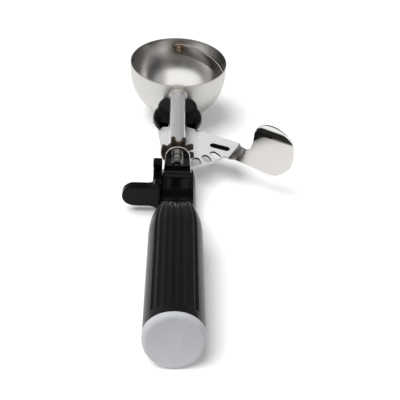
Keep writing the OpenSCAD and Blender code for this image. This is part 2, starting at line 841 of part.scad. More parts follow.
// Point on the sheet's front face, h up the face at t past the bend, back by d
function sheet_point(t, h, d) =
    let (
        lean = twist(t),
        curl = max(0, h - paddle_flat_h) / paddle_bend_r * 180 / PI,
        flat = min(h, paddle_flat_h),
        up = flat + paddle_bend_r * sin(curl),
        away = paddle_bend_r * (1 - cos(curl)),
        side = up * cos(lean) + away * sin(lean) + d * sin(lean - curl),
        rise = up * sin(lean) - away * cos(lean) - d * cos(lean - curl),
        base = bend_near + t * reach_dir + side * bend_dir
    )
    [base[0], base[1], plate_top + rise];

strip_stations = [-root_sink, root_rise, 1.5, 3, 4.5, 6, 7.5, 9, 10.5, 12, 13, paddle_side];
paddle_stations = [0.345, 0.37, 0.405, 0.48, 0.56, 0.63, 0.71, 0.79, 0.855, 0.9, 0.94, 0.965, 0.985, 1];
sheet_stations = concat(strip_stations, paddle_stations * paddle_reach);

module paddle_sheet() {
    cols = sheet_stations;
    rows = sheet_rows;
    n = len(cols);
    points = [for (side = [0, 1], t = cols, k = [0 : rows])
        let (trim = inset(t), low = low_at(t) + 4 * trim, high = high_at(t) - 4 * trim)
        sheet_point(t, low + (high - low) * k / rows, side == 0 ? trim : plate_t - trim)];
    w = rows + 1;
    back = n * w;
    faces = [
        for (i = [0 : n - 2], k = [0 : rows - 1]) let (a = i * w + k, b = a + w)
            each [[a, b + 1, b], [a, a + 1, b + 1],
                [back + a, back + b, back + b + 1], [back + a, back + b + 1, back + a + 1]],
        for (i = [0 : n - 2]) let (a = i * w, b = a + w, c = a + rows, e = b + rows)
            each [[a, b, back + b], [a, back + b, back + a], [c, back + e, e], [c, back + c, back + e]],
        for (k = [0 : rows - 1]) let (a = k, b = (n - 1) * w + k)
            each [[a, back + a, back + a + 1], [a, back + a + 1, a + 1],
                [b, b + 1, back + b + 1], [b, back + b + 1, back + b]]
    ];
    polyhedron(points, faces);
}

module thumb_lever() {
    color("gainsboro") translate([0, -pivot_at, 0]) {
        translate([0, 0, plate_bottom]) linear_extrude(plate_t) plate_outline();
        paddle_sheet();
    }
}

seat() bowl();
seat() bowl_saddle();
seat() far_rivet();
seat() shank_tube();
seat() front_bush();
seat() middle_bush();
seat() rear_bracket();
seat() rear_bush();
seat() bracket_screws();
seat() pivot_housing();
seat() pivot_screw();
seat() pivot_spacer();
seat() pivot_washer();
seat() lever_spring();
seat() frame_arm();
seat() housing_screw();
seat() handle_neck();
seat() thumb_rest();
seat() handle_grip();
seat() grip_washer();
seat() grip_nut();
seat() end_cap();
seat() sweep_shaft();
seat() scraper_blade();
seat() pinion();
seat() pinion_pin();
seat() retaining_ring();
seat() thumb_lever();
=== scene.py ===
# %% [markdown]
# # A lever ice cream scoop
# A round steel bowl sits on a tube. A thumb lever with a ring of slots turns a small
# toothed wheel, and the wheel sweeps a curved blade round the inside of the bowl. The solid
# model is loaded first and stays fixed. Everything made here lies in the same place
# as the solid it dresses, in metres.

# %% Load the solid model
import json
from math import asin, atan2, cos, degrees, pi, radians, sin, sqrt, tan, tau
import bmesh
import bpy
from mathutils import Matrix, Vector


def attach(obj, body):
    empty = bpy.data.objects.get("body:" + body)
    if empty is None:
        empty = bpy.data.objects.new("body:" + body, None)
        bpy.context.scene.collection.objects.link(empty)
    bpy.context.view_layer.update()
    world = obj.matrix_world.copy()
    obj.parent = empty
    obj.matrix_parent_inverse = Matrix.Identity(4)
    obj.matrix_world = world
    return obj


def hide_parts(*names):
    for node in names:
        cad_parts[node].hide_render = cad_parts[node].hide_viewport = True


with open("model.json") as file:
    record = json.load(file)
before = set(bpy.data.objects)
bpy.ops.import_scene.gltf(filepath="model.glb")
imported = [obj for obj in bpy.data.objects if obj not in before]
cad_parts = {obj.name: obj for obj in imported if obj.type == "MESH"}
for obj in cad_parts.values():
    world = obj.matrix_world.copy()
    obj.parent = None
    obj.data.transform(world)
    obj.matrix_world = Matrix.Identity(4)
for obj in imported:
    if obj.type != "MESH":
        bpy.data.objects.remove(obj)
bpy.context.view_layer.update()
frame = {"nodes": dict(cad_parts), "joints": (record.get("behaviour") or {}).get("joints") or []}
nodes = frame["nodes"]

# %% [markdown]
# ## The scoop's own space
# The scoop lies tilted on its bowl, its neck and its end cap. Its pieces are far easier to
# describe in a space of their own: millimetres from the centre of the bowl's ball, the tube
# running along -Y and +Z square to the rim. One matrix then lays everything down. Reading
# that matrix from the blade's joint, not typing it, keeps both models in step. A
# "station" is a distance behind the ball's centre.

# %% Own space
joints = {joint["name"]: joint for joint in frame["joints"]}
sweep = joints["scraper_sweep"]
tilt = asin(sweep["axis"][2])
seat = Matrix.Translation(sweep["pos_m"]) @ Matrix.Rotation(tilt, 4, "X") @ Matrix.Scale(0.001, 4)
unseat = seat.inverted()
pivot_station = -(unseat @ Vector(joints["lever_press"]["pos_m"])).y
print("tilt", round(degrees(tilt), 3), "degrees, pivot at station", round(pivot_station, 2))

# %% [markdown]
# ## Shader helper
# A material is a tree of nodes. Its arithmetic reads best as arithmetic, so Wire wraps
# a socket and lets Python's own signs add the Math nodes.

# %% Wire
class Wire:
    """An output socket that Python's signs work on."""

    def __init__(self, paint, socket):
        self.paint, self.socket = paint, socket

    def math(self, operation, first, second):
        return self.paint.node("ShaderNodeMath", {"operation": operation}, {0: first, 1: second})

    def __add__(self, other):
        return self.math("ADD", self, other)

    def __sub__(self, other):
        return self.math("SUBTRACT", self, other)

    def __rsub__(self, other):
        return self.math("SUBTRACT", other, self)

    def __mul__(self, other):
        return self.math("MULTIPLY", self, other)

    def __truediv__(self, other):
        return self.math("DIVIDE", self, other)

    def __pow__(self, other):
        return self.math("POWER", self, other)

    def least(self, other):
        return self.math("MINIMUM", self, other)

    def most(self, other):
        return self.math("MAXIMUM", self, other)

    def size(self):
        return self.math("ABSOLUTE", self, 0.0)

    def above(self, low, high):
        """0 below low, 1 above high, smooth between."""
        return self.paint.node("ShaderNodeMapRange", {"interpolation_type": "SMOOTHSTEP"},
                               {"Value": self, "From Min": low, "From Max": high})

    __radd__ = __add__
    __rmul__ = __mul__

# %% [markdown]
# Paint holds one node tree. Its node() is the one way in: type first, then settings, then what
# the sockets hold. The rest are short names for what the scoop's finishes ask most often:
# a noise, a mix of two colours, how near a point lies to a place and how far it faces up.

# %% Paint
class Paint:
    """A node tree and short ways to fill it."""

    def __init__(self, tree):
        self.tree = tree
        tree.nodes.clear()

    def node(self, kind, settings=None, sockets=None, out=0):
        made = self.tree.nodes.new(kind)
        for key, value in (settings or {}).items():
            if key == "stops":
                ramp = made.color_ramp.elements
                while len(ramp) < len(value):
                    ramp.new(0.5)
                for stop, (place, color) in zip(ramp, value):
                    stop.position, stop.color = place, (*color, 1)
            else:
                setattr(made, key, value)
        for key, value in (sockets or {}).items():
            if isinstance(value, Wire):
                self.tree.links.new(value.socket, made.inputs[key])
            else:
                made.inputs[key].default_value = value
        return Wire(self, made.outputs[out])

    def close(self, kind, shader):
        """Runs a shader into the tree's output."""
        self.tree.links.new(shader.socket, self.tree.nodes.new(kind).inputs["Surface"])

    def split(self, vector):
        """The three parts of a vector."""
        made = self.tree.nodes.new("ShaderNodeSeparateXYZ")
        self.tree.links.new(vector.socket, made.inputs[0])
        return [Wire(self, socket) for socket in made.outputs]

    def vector(self, operation, first, second=(0, 0, 0), out=0):
        return self.node("ShaderNodeVectorMath", {"operation": operation},
                         {0: first, 1: second}, out)

    def mix(self, share, first, second):
        """A colour between two colours."""
        sockets = {0: share, 6: first, 7: second}
        return self.node("ShaderNodeMix", {"data_type": "RGBA"}, sockets, out=2)

    def noise(self, place, scale, detail=3, rough=0.5):
        return self.node("ShaderNodeTexNoise", {},
                         {"Vector": place, "Scale": scale, "Detail": detail, "Roughness": rough})

    def place(self, stretch=(1, 1, 1)):
        """The point's place in the scoop's own millimetres, stretched."""
        world = self.node("ShaderNodeTexCoord", out="Object")
        turned = self.node("ShaderNodeMapping", {}, {
            "Vector": world, "Location": unseat.to_translation(), "Rotation": (-tilt, 0, 0),
            "Scale": (1000, 1000, 1000)})
        return self.vector("MULTIPLY", turned, stretch)

    def away(self, point):
        """Distance in millimetres from a point in own space."""
        return self.vector("DISTANCE", self.place(), point, "Value")

    def near(self, point, low, high):
        """1 nearer to a point than low, 0 farther than high."""
        return 1 - self.away(point).above(low, high)

    def upward(self):
        """How far a surface faces up: 1 up, 0 upright, -1 down."""
        return self.split(self.node("ShaderNodeNewGeometry", out="Normal"))[2]

    def bump(self, height, strength, depth):
        sockets = {"Height": height, "Strength": strength, "Distance": depth}
        return self.node("ShaderNodeBump", {}, sockets)

# %% New materials
def finish(name):
    """A new material and its Paint."""
    print("material", name)
    material = bpy.data.materials.new(name)
    material.use_nodes = True
    return material, Paint(material.node_tree)


def scaled(color, share):
    """A colour made lighter or darker."""
    return (*(share * part for part in color[:3]), 1)


def shade(paint, **sockets):
    """Closes a material with a Principled shader."""
    shader = paint.node("ShaderNodeBsdfPrincipled", {}, {
        key.replace("_", " "): value for key, value in sockets.items()})
    paint.close("ShaderNodeOutputMaterial", shader)

# %% [markdown]
# ## From points to a piece
# Every piece goes the same way, whatever makes its points. Blender gets a mesh and an object
# for it, doubled points are merged, faces are turned outwards and everything but real edges
# is shaded smooth. Then the piece is told its finish, the body that it moves with and the
# solids that it stands for.

# %% Piece helpers
def linked(name, data):
    """A new object in the scene."""
    obj = bpy.data.objects.new(name, data)
    bpy.context.scene.collection.objects.link(obj)
    return obj


def baked(obj):
    """The mesh that an object's curve or modifiers make."""
    view = bpy.context.evaluated_depsgraph_get()
    return bpy.data.meshes.new_from_object(obj.evaluated_get(view))


def settle(obj, sharp=38):
    """Merges doubles, turns faces outwards and shades all but sharp edges smooth."""
    mesh = bmesh.new()
    mesh.from_mesh(obj.data)
    bmesh.ops.remove_doubles(mesh, verts=mesh.verts, dist=2e-6)
    bmesh.ops.dissolve_degenerate(mesh, edges=mesh.edges, dist=1e-6)
    bmesh.ops.recalc_face_normals(mesh, faces=mesh.faces)
    mesh.to_mesh(obj.data)
    mesh.free()
    obj.data.shade_smooth()
    obj.data.set_sharp_from_angle(angle=radians(sharp))
    return obj


def piece(name, points, faces, sharp=38):
    """A mesh object from points in own millimetres."""
    mesh = bpy.data.meshes.new(name)
    mesh.from_pydata([seat @ Vector(point) for point in points], [], faces)
    return settle(linked(name, mesh), sharp)


def dress(obj, body, slot, material, *stood_for):
    """Gives a piece its finish, its body and the solids it stands for."""
    obj.data.materials.clear()
    obj.data.materials.append(material)
    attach(obj, body)
    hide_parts(*stood_for)
    print(obj.name, len(obj.data.polygons), "faces, for", ", ".join(stood_for) or "nothing")
    return obj

# %% [markdown]
# ## Steel
# The bowl, blade, tube, lever and bracket are stainless steel. A metal has hardly any colour
# of its own: what shows is the room, sharp where the polish is high and blurred where the
# steel is satin. So one maker builds every steel and roughness tells them apart: the paddle
# is almost a mirror, the bowl is satin and the lever's plate is nearly matt. Real polish is
# never even, so slow noise varies the roughness like faint smears, and a very weak bump bends
# the reflections a little, as pressed sheet does. Fine scratches scatter light as a matt
# surface does, so the shank and the plate are set below full metal. Where the rivet was set
# and where the saddle was brazed heat has tinted the steel, so the colour warms close by.

# %% Steel
def polished(name, color, rough, spread, wave=0.02, heat=(), metal=1.0, first=None, last=None):
    """Steel with smears and grain. first and last change its colour, roughness and metal
    before and after the heat and the smears are laid on."""
    material, paint = finish(name)
    place = paint.place()
    smear = paint.noise(place, 0.09, 4, 0.6)
    grain = paint.noise(paint.place((4, 0.25, 4)), 1.2, 2)
    tint = color
    if first:
        tint, rough, metal = first(paint, tint, rough, metal)
    for point, reach, warm in heat:
        share = paint.near(point, reach * 0.35, reach) * (0.45 + 0.6 * paint.noise(place, 0.9, 3))
        tint = paint.mix(share, tint, warm)
    tint = paint.mix(smear.above(0.35, 0.75) * 0.12, tint, scaled(color, 0.9))
    if last:
        tint, rough, metal = last(paint, tint, rough, metal)
    shade(paint, Base_Color=tint, Metallic=metal,
          Roughness=rough + spread * smear.above(0.3, 0.8) + 0.03 * grain,
          Normal=paint.bump(paint.noise(place, 0.12, 2) + 0.04 * grain, wave, 0.001))
    return material

# %% [markdown]
# Four steels differ over their surface. A place or a direction picks the spot, so nothing has
# to be painted by hand and no texture has to be laid out. The bowl is rougher outside than
# inside, and inside it has painted shade on its right and painted light on its left. The
# blade's steel is set darker than the bowl's as painted shade, darker still towards its right,
# and its upper edge has a painted highlight. The twist of the lever has painted shade and a
# rougher finish. The walls of the punched slots have painted shade.

# %% Local changes
def bowl_sides(paint, tint, rough, metal):
    """Points of the inner wall lie nearer to the ball's centre, or to its upright axis
    where the wall runs straight, than those of the outer wall."""
    x, y, z = paint.split(paint.place())
    flat = paint.node("ShaderNodeCombineXYZ", {}, {0: x, 1: y, 2: z.least(0.0)})
    reach = paint.vector("LENGTH", flat, out="Value")
    outside = reach.above(35.0, 35.2)
    inside = 1 - outside
    # Painted shade darkens the inner wall on the right, and painted light brightens it on the left.
    wear_and_shade, painted_light_patch = paint.near((36, 3, -6), 14, 31), paint.near((-30, 8, -6), 14, 36)
    tint = paint.mix(inside * wear_and_shade, tint, (0.1, 0.097, 0.1, 1))
    tint = paint.mix(inside * painted_light_patch, tint, (0.97, 0.95, 0.94, 1))
    return tint, rough + 0.2 * outside, metal - 0.25 * outside


def blade_highlight_and_shade(paint, tint, rough, metal):
    # Painted highlight: faces that look up get a light, less metallic colour. Painted shade darkens
    # the blade towards its right.
    edge = paint.upward().above(0.45, 0.75)
    tint = paint.mix(paint.near((36, 8, 0), 16, 40), tint, (0.07, 0.065, 0.065, 1))
    return paint.mix(edge, tint, (0.85, 0.83, 0.8, 1)), rough, metal - 0.75 * edge


def shaded_rough_twist(paint, tint, rough, metal):
    # Painted shade darkens the twist; the extra roughness there is its coarser finish.
    dull_tone_and_shade = paint.near((36, -pivot_station - 25, -6), 6, 17)
    coarse = paint.near((38, -pivot_station - 26, -6), 8, 16)
    return paint.mix(dull_tone_and_shade, tint, (0.2, 0.185, 0.17, 1)), rough + 0.3 * coarse, metal


def shaded_slot_walls(paint, tint, rough, metal):
    """Upright faces, apart from those at the outer edge of the lever's plate."""
    # Painted shade: the slot walls are coloured near-black and lose their metal.
    upright = 1 - paint.upward().size().above(0.3, 0.75)
    wall = upright * paint.near((0, -pivot_station, -9.8), 41.9, 42.2)
    return paint.mix(wall, tint, (0.03, 0.027, 0.025, 1)), rough, metal * (1 - wall)

# %% Steel finishes
rivet_place, saddle_place = (0, 34, 0), (0, -36, 5)
bowl_steel = polished("bowl_steel", (0.72, 0.705, 0.68, 1), 0.19, 0.05, first=bowl_sides,
                      heat=[(rivet_place, 8.5, (0.42, 0.27, 0.17, 1)),
                            (saddle_place, 7, (0.6, 0.54, 0.48, 1))])
# Painted shade: the blade's steel is set darker than the bowl's.
blade_steel = polished("blade_steel", (0.4, 0.385, 0.365, 1), 0.13, 0.05, first=blade_highlight_and_shade,
                       heat=[(rivet_place, 7.5, (0.5, 0.36, 0.25, 1))])
tube_steel = polished("tube_steel", (0.66, 0.65, 0.655, 1), 0.1, 0.05, metal=0.65)
plate_steel = polished("plate_steel", (0.76, 0.76, 0.775, 1), 0.24, 0.06, metal=0.3,
                       last=shaded_slot_walls)
paddle_steel = polished("paddle_steel", (0.71, 0.69, 0.665, 1), 0.03, 0.03, wave=0.01,
                        first=shaded_rough_twist)
# Near-black steel, used only as painted shade on the floor of the lever's groove.
dark_steel = polished("dark_steel", (0.03, 0.028, 0.028, 1), 0.3, 0.05)
rivet_steel = polished("rivet_steel", (0.55, 0.42, 0.32, 1), 0.22, 0.1)

# %% [markdown]
# The screws, the shaft and the bushes are turned and left plain. A lathe leaves fine rings
# round the axis, and the distance to that axis is all the pattern needs. The shaft and its
# bush get darker, smoother steel; the darker colour is painted shade.

# %% Turned metal
def lathe_marks(name, color, rough):
    """Plain turned metal: fine rings round the shaft's axis, from the distance to it."""
    material, paint = finish(name)
    flat = paint.place((1, 0, 1))
    ring = paint.vector("LENGTH", flat, out="Value")
    marks = paint.node("ShaderNodeTexNoise", {"noise_dimensions": "1D"},
                       {"W": ring, "Scale": 9, "Detail": 2})
    dull_tone_and_shade = paint.noise(paint.place(), 0.4, 3)
    shade(paint, Base_Color=paint.mix(dull_tone_and_shade, color, scaled(color, 0.75)), Metallic=1.0,
          Roughness=rough + 0.15 * marks, Normal=paint.bump(marks, 0.12, 0.0002))
    return material


turned_steel = lathe_marks("turned_steel", (0.55, 0.55, 0.55, 1), 0.2)
# Painted shade: a darker copy of the turned steel.
shaded_shaft_steel = lathe_marks("shaded_shaft_steel", (0.24, 0.235, 0.23, 1), 0.06)
bush_brass = lathe_marks("bush_brass", (0.72, 0.54, 0.28, 1), 0.25)

# %% [markdown]
# The toothed wheel is pressed from powder and blackened. Its skin is dull and finely pitted,
# brown where oil has dried: two noises, one for pits and one for stains.

# %% Sintered steel
sintered, paint = finish("sintered")
place = paint.place()
stain = paint.noise(place, 0.35, 4, 0.65)
pits = paint.noise(place, 6, 2)
skin, oil = (0.035, 0.028, 0.024, 1), (0.12, 0.085, 0.06, 1)
shade(paint, Base_Color=paint.mix(stain.above(0.35, 0.7), skin, oil), Metallic=0.6,
      Roughness=0.42 + 0.2 * stain, Normal=paint.bump(pits, 0.25, 0.0003))

# %% [markdown]
# ## Black and grey mouldings
# The handle is moulded nylon: near-black, half gloss, with a texture so fine that only the
# highlights show it. The grey of the end cap is a satin plastic. Both get a weak grain bump
# and a roughness that wanders, so a long highlight isn't perfectly even. The black of a
# plastic is made by its gloss as much as by its colour, so shine, the strength of the mirror
# part, is set low for the neck and a little higher for the grip.

# %% Plastics
def nylon(name, color, rough, spread, grain_depth, shine=0.5):
    material, paint = finish(name)
    place = paint.place()
    grain = paint.noise(place, 5, 3)
    wear_and_shade = paint.noise(place, 0.14, 3)
    shade(paint, Base_Color=paint.mix(wear_and_shade.above(0.4, 0.8), color, scaled(color, 1.08)),
          Roughness=rough + spread * wear_and_shade, Specular_IOR_Level=shine,
          Normal=paint.bump(grain, grain_depth, 0.0002))
    return material


black_nylon = nylon("black_nylon", (0.002, 0.002, 0.0022, 1), 0.16, 0.08, 0.12, shine=0.14)
grip_nylon = nylon("grip_nylon", (0.005, 0.0045, 0.0052, 1), 0.18, 0.08, 0.15, shine=0.3)
cap_plastic = nylon("cap_plastic", (0.52, 0.53, 0.55, 1), 0.36, 0.1, 0.12)

# %% [markdown]
# ## Spinning a profile
# The bowl, the tube, the shaft and the bushes are all round, so one maker spins a profile
# into any of them. A profile's corners are softened first: no real edge is sharp, and
# the thin highlight on a round edge is what sells the metal. A corner may ask for its own
# radius. The axis to spin about is a function of its own, so that the same maker serves the
# bowl, which stands upright, and the shank, which lies.

# %% Spinning helpers
def soften(corners, radius, steps=4):
    """Rounds an outline's corners. A corner may carry its own radius as a third number."""
    out = []
    for i, corner in enumerate(corners):
        before, here, after = (Vector(corners[k % len(corners)][:2]) for k in (i - 1, i, i + 1))
        cut = corner[2] if len(corner) > 2 else radius
        cut = min(cut, 0.45 * (before - here).length, 0.45 * (after - here).length)
        if cut < 1e-4:
            out.append(here)
            continue
        start = here + (before - here).normalized() * cut
        end = here + (after - here).normalized() * cut
        for k in range(steps + 1):
            t = k / steps
            out.append(start * (1 - t) ** 2 + here * 2 * t * (1 - t) + end * t ** 2)
    return out


def about_shank(radius, station, angle):
    return (radius * sin(angle), -station, radius * cos(angle))


def about_bowl(radius, height, angle):
    return (radius * cos(angle), radius * sin(angle), height)


def turned(name, profile, spin=about_shank, segments=96, radius=0.25):
    """Spins a profile of (radius, station) corners. A corner on the axis stays as it is."""
    corners = [(*c, 0) if c[0] == 0 else c for c in profile]
    rim = soften(corners, radius)
    points = [spin(r, s, tau * k / segments) for r, s in rim for k in range(segments)]
    faces = []
    for i in range(len(rim)):
        j = (i + 1) % len(rim)
        if rim[i].x < 1e-6 and rim[j].x < 1e-6:
            continue
        for k in range(segments):
            n = (k + 1) % segments
            faces.append((i * segments + k, i * segments + n, j * segments + n, j * segments + k))
    return piece(name, points, faces)

# %% [markdown]
# ## Bowl
# The bowl is sheet 0.8 mm thick, spun into a half ball with a short straight wall above. It
# could be a sphere cut in half and thickened, but a profile that runs down the outside,
# round the lip and up the inside gives exact thickness, a rolled lip and no pole trouble.
# The tube's hole is cut last, with a Boolean, where the saddle and the blade hide its edge.

# %% Bowl
bowl_r, wall, lip, fine_steps = 35.5, 0.8, 8.5, 56
inner_r = bowl_r - wall


def bowl_wall(radius):
    """Profile of the half ball, from the bottom up to the level of its centre."""
    return [(radius * sin(a), -radius * cos(a), 0)
            for a in (pi / 2 * k / fine_steps for k in range(fine_steps + 1))]


profile = (bowl_wall(bowl_r) + [(bowl_r, h, 0) for h in (2, 4, 6)]
           + [(bowl_r, lip, 0.4), (inner_r, lip, 0.4)]
           + [(inner_r, h, 0) for h in (6, 4, 2)] + bowl_wall(inner_r)[::-1])
bowl = turned("bowl_skin", profile, about_bowl, 192)
drill = turned("drill", [(0, 30), (4.2, 30, 0), (4.2, 40, 0), (0, 40)], segments=64)
cut = bowl.modifiers.new("tube hole", "BOOLEAN")
cut.operation, cut.object, cut.solver = "DIFFERENCE", drill, "EXACT"
bowl.data = baked(bowl)
bowl.modifiers.clear()
bpy.data.objects.remove(drill)
settle(bowl)
dress(bowl, "frame", "polished_steel", bowl_steel, "bowl")

# %% [markdown]
# ## Saddle
# Where the tube meets the bowl a small saddle is brazed on: a round flange that follows the
# bowl's wall, a fillet up to the tube and a narrow tab towards the lip. Its outline is a
# star shape seen along the tube, so rings of points round the tube's axis make it, each
# lifted off the bowl by a height that depends on how far out the ring is. That gives a front
# and a back surface, and shell() joins two such grids of points along their borders. The
# blade and the paddle, which are sheets too, use it again.

# %% Sheet helper
def shell(name, front, back, ring=False, sharp=38):
    """A sheet from two grids of points. ring joins the last row to the first."""
    rows, across = len(front), len(front[0])
    points = [point for grid in (front, back) for row in grid for point in row]
    shift = rows * across
    faces = []
    for i in range(rows if ring else rows - 1):
        a, b = i * across, (i + 1) % rows * across
        for k in range(across - 1):
            faces.append((a + k, b + k, b + k + 1, a + k + 1))
            faces.append((shift + a + k + 1, shift + b + k + 1, shift + b + k, shift + a + k))
        for k in (0, across - 1):
            faces.append((a + k, b + k, shift + b + k, shift + a + k))
    if not ring:
        for a in (0, (rows - 1) * across):
            for k in range(across - 1):
                faces.append((a + k, a + k + 1, shift + a + k + 1, shift + a + k))
    return piece(name, points, faces, sharp)

# %% Saddle
tube_r, saddle_t, flange_r, tab_half, tab_top = 5.4, 0.6, 6.6, 3.3, 8.0


def bowl_depth(x, z):
    """Station of the bowl's outer wall at a place seen along the tube."""
    return sqrt(bowl_r ** 2 - x * x - (z * z if z < 0 else 0))


def flange_edge(angle):
    """How far the saddle reaches in a direction, measured from straight up."""
    x, z = abs(sin(angle)), cos(angle)
    if z <= 0:
        return flange_r
    return max(flange_r, min(tab_half / max(x, 1e-6), tab_top / z))


turns = 180
edges = [flange_edge(tau * k / turns) for k in range(turns)]
for _ in range(2):
    edges = [(edges[k - 1] + 2 * edges[k] + edges[(k + 1) % turns]) / 4 for k in range(turns)]
lift = [(0.0, 2.4), (0.06, 2.35), (0.16, 1.9), (0.3, 1.2), (0.45, 0.8), (0.62, 0.64),
        (0.85, saddle_t), (0.94, 0.52), (0.985, 0.3), (1.0, 0.05)]
front, back = [], []
for k in range(turns):
    angle = tau * k / turns
    top, base = [], []
    for share, height in lift:
        reach = tube_r + 0.02 + share * (edges[k] - tube_r)
        x, z = reach * sin(angle), reach * cos(angle)
        top.append((x, -bowl_depth(x, z) - height, z))
        base.append((x, -bowl_depth(x, z) + 0.02, z))
    front.append(top)
    back.append(base)
saddle = shell("saddle", front, back, ring=True, sharp=60)
dress(saddle, "frame", "polished_steel", bowl_steel, "bowl_saddle")

# %% [markdown]
# ## Tube, bushes and shaft
# These are lathe work, so each one is a profile spun about the tube's axis. The profiles
# carry what a lathe leaves: chamfers, a groove for the ring, a centre mark in the shaft's
# end. Where a flat face meets a small round edge, weighted normals keep it flat to the eye.

# %% Turned pieces
def even(obj):
    """Keeps flat faces flat in the shading next to their round edges."""
    weighted = obj.modifiers.new("even shading", "WEIGHTED_NORMAL")
    weighted.keep_sharp = True
    return obj


tube_end, flange_t, bore_r = 94.2, 0.8, 2.8
bracket_at, bracket_t = 102.0, 1.5
ring_at, ring_t, shaft_end, bush_end, shaft_r = 107.9, 0.8, 109.5, 107.5, 2.75
tube = turned("tube", [(4.2, 35.2), (tube_r, 35.2), (tube_r, tube_end), (4.2, tube_end)],
              radius=0.35)
dress(tube, "frame", "polished_steel", tube_steel, "shank_tube")
collar = turned("middle_bush_turned", [
    (bore_r, tube_end - 10), (4.2, tube_end - 10), (4.2, tube_end + 0.01, 0),
    (tube_r, tube_end + 0.01), (tube_r, tube_end + flange_t),
    (bore_r, tube_end + flange_t)], radius=0.2)
dress(collar, "frame", "bush_brass", bush_brass, "middle_bush")
bush = turned("rear_bush_turned", [
    (bore_r, bracket_at - flange_t), (4.8, bracket_at - flange_t), (4.8, bracket_at),
    (3.8, bracket_at, 0), (3.8, bush_end, 0.45), (3.1, bush_end, 0.1),
    (bore_r, bush_end - 0.4, 0.1)], radius=0.2)
dress(even(bush), "frame", "inner_steel", shaded_shaft_steel, "rear_bush")
shaft = turned("shaft", [
    (0, 32.5), (3.2, 32.5, 0.4), (3.2, 33.5, 0.1), (2, 33.5, 0), (2, 34.2, 0),
    (shaft_r, 34.2, 0.1), (shaft_r, ring_at, 0.05), (2.25, ring_at, 0.05),
    (2.25, ring_at + ring_t, 0.05), (shaft_r, ring_at + ring_t, 0.05), (shaft_r, shaft_end, 0.5),
    (0.9, shaft_end, 0.15), (0, shaft_end - 0.6)], radius=0.2)
dress(even(shaft), "sweeper", "polished_steel", shaded_shaft_steel, "sweep_shaft")
clip = turned("ring", [(2.27, ring_at + 0.05), (3.55, ring_at + 0.05), (3.55, ring_at + 0.75),
                       (2.27, ring_at + 0.75)], radius=0.2)
dress(clip, "sweeper", "inner_steel", turned_steel, "retaining_ring")
rivet = turned("far_rivet_turned", [
    (0, -33.0), (0.9, -32.9, 0.2), (1.15, -32.5, 0.15), (1.7, -32.45, 0.3), (2.6, -32.9, 0.35),
    (2.6, -33.25, 0.05), (1.5, -33.25, 0), (1.5, -35.5, 0), (2.6, -35.5, 0.05), (2.6, -35.8, 0.3),
    (1.4, -36.3, 0.5), (0, -36.3)], radius=0.1)
dress(rivet, "frame", "polished_steel", rivet_steel, "far_rivet")

# %% [markdown]
# ## Scraper blade
# The blade is a band of spring steel bent to the inside of the bowl, with a round tab at each
# end for its pivots. On a ball a band is simple to write down: a turn about the ball's
# upright axis and a height. The width shrinks as a half circle past each pivot, which
# rounds the tabs.

# %% Scraper blade
blade_r, blade_t, blade_half, droop = 34.3, 0.8, 4.25, radians(10)


def blade_point(turn, share, radius):
    """A point of the band: turn runs from the near pivot to the far one."""
    over = max(-turn, turn - pi, 0) * blade_r
    height = share * sqrt(max(blade_half ** 2 - over ** 2, 0))
    flat = sqrt(radius ** 2 - height ** 2)
    x, y = flat * sin(turn), -flat * cos(turn)
    return (x * cos(droop) + height * sin(droop), y,
            height * cos(droop) - x * sin(droop))


reach = blade_half / blade_r
tab = [reach * cos(pi / 2 * k / 14) for k in range(15)]
band = [pi * k / 120 for k in range(1, 120)]
turns = [-t for t in tab] + band + [pi + t for t in tab[::-1]]
shares = [-1, -0.97, -0.93, -0.87] + [-0.8 + 0.1 * k for k in range(17)] + [0.87, 0.93, 0.97, 1]
round_from, edge_pull = 0.86, 0.38


def blade_face(radius, pull):
    """One face, drawn in by pull at its long edges so that they come out round."""
    drawn = [radius - pull * (max(abs(s) - round_from, 0) / (1 - round_from)) ** 2 for s in shares]
    return [[blade_point(t, s, r) for s, r in zip(shares, drawn)] for t in turns]


blade = shell("blade", blade_face(blade_r, edge_pull), blade_face(blade_r - blade_t, -edge_pull))
dress(blade, "sweeper", "polished_steel", blade_steel, "scraper_blade")

# %% [markdown]
# ## Pinion
# Six round-tipped teeth and a smooth sector stand on one disc. Seen along the shaft its
# outline never folds back, so for each direction it is enough to know how far it reaches: the
# largest of the disc, the nearest tooth and the sector. A little averaging then leaves
# the fillets that a press tool needs at the foot of each tooth. Blender's 2D curve turns an
# outline with holes into a plate and rounds its edges in the same go, which no extrusion
# by hand does as cleanly.

# %% Plate helpers
def arc(radius, start, end, steps, middle=(0, 0)):
    """Points along an arc, both ends included."""
    turns = (start + (end - start) * k / steps for k in range(steps + 1))
    return [(middle[0] + radius * cos(a), middle[1] + radius * sin(a)) for a in turns]


def bored(radius, steps, middle=(0, 0)):
    """Outline of a round hole, drawn clockwise."""
    return arc(radius, 0, -tau, steps, middle)[:-1]


def plate(name, outline, holes, thick, space, edge=0.2):
    """A flat piece with holes. Blender's 2D curve fills the outline, thickens it and
    rounds its edge in one go; space carries its middle plane into own millimetres."""
    curve = bpy.data.curves.new(name, "CURVE")
    curve.dimensions, curve.fill_mode = "2D", "BOTH"
    curve.extrude, curve.bevel_depth, curve.bevel_resolution = thick / 2 - edge, edge, 2
    curve.offset = -edge
    for loop in (outline, *holes):
        spline = curve.splines.new("POLY")
        spline.points.add(len(loop) - 1)
        spline.use_cyclic_u = True
        for point, (x, y) in zip(spline.points, loop):
            point.co = (x, y, 0, 1)
    rough = linked(name, curve)
    mesh = baked(rough)
    bpy.data.objects.remove(rough)
    bpy.data.curves.remove(curve)
    mesh.transform(seat @ space)
    mesh.name = name
    return settle(linked(name, mesh))


def facing_back(station, thick):
    """Space of a plate that stands across the tube, its front face at a station."""
    return Matrix.Translation((0, -station - thick / 2, 0)) @ Matrix.Rotation(pi / 2, 4, "X")

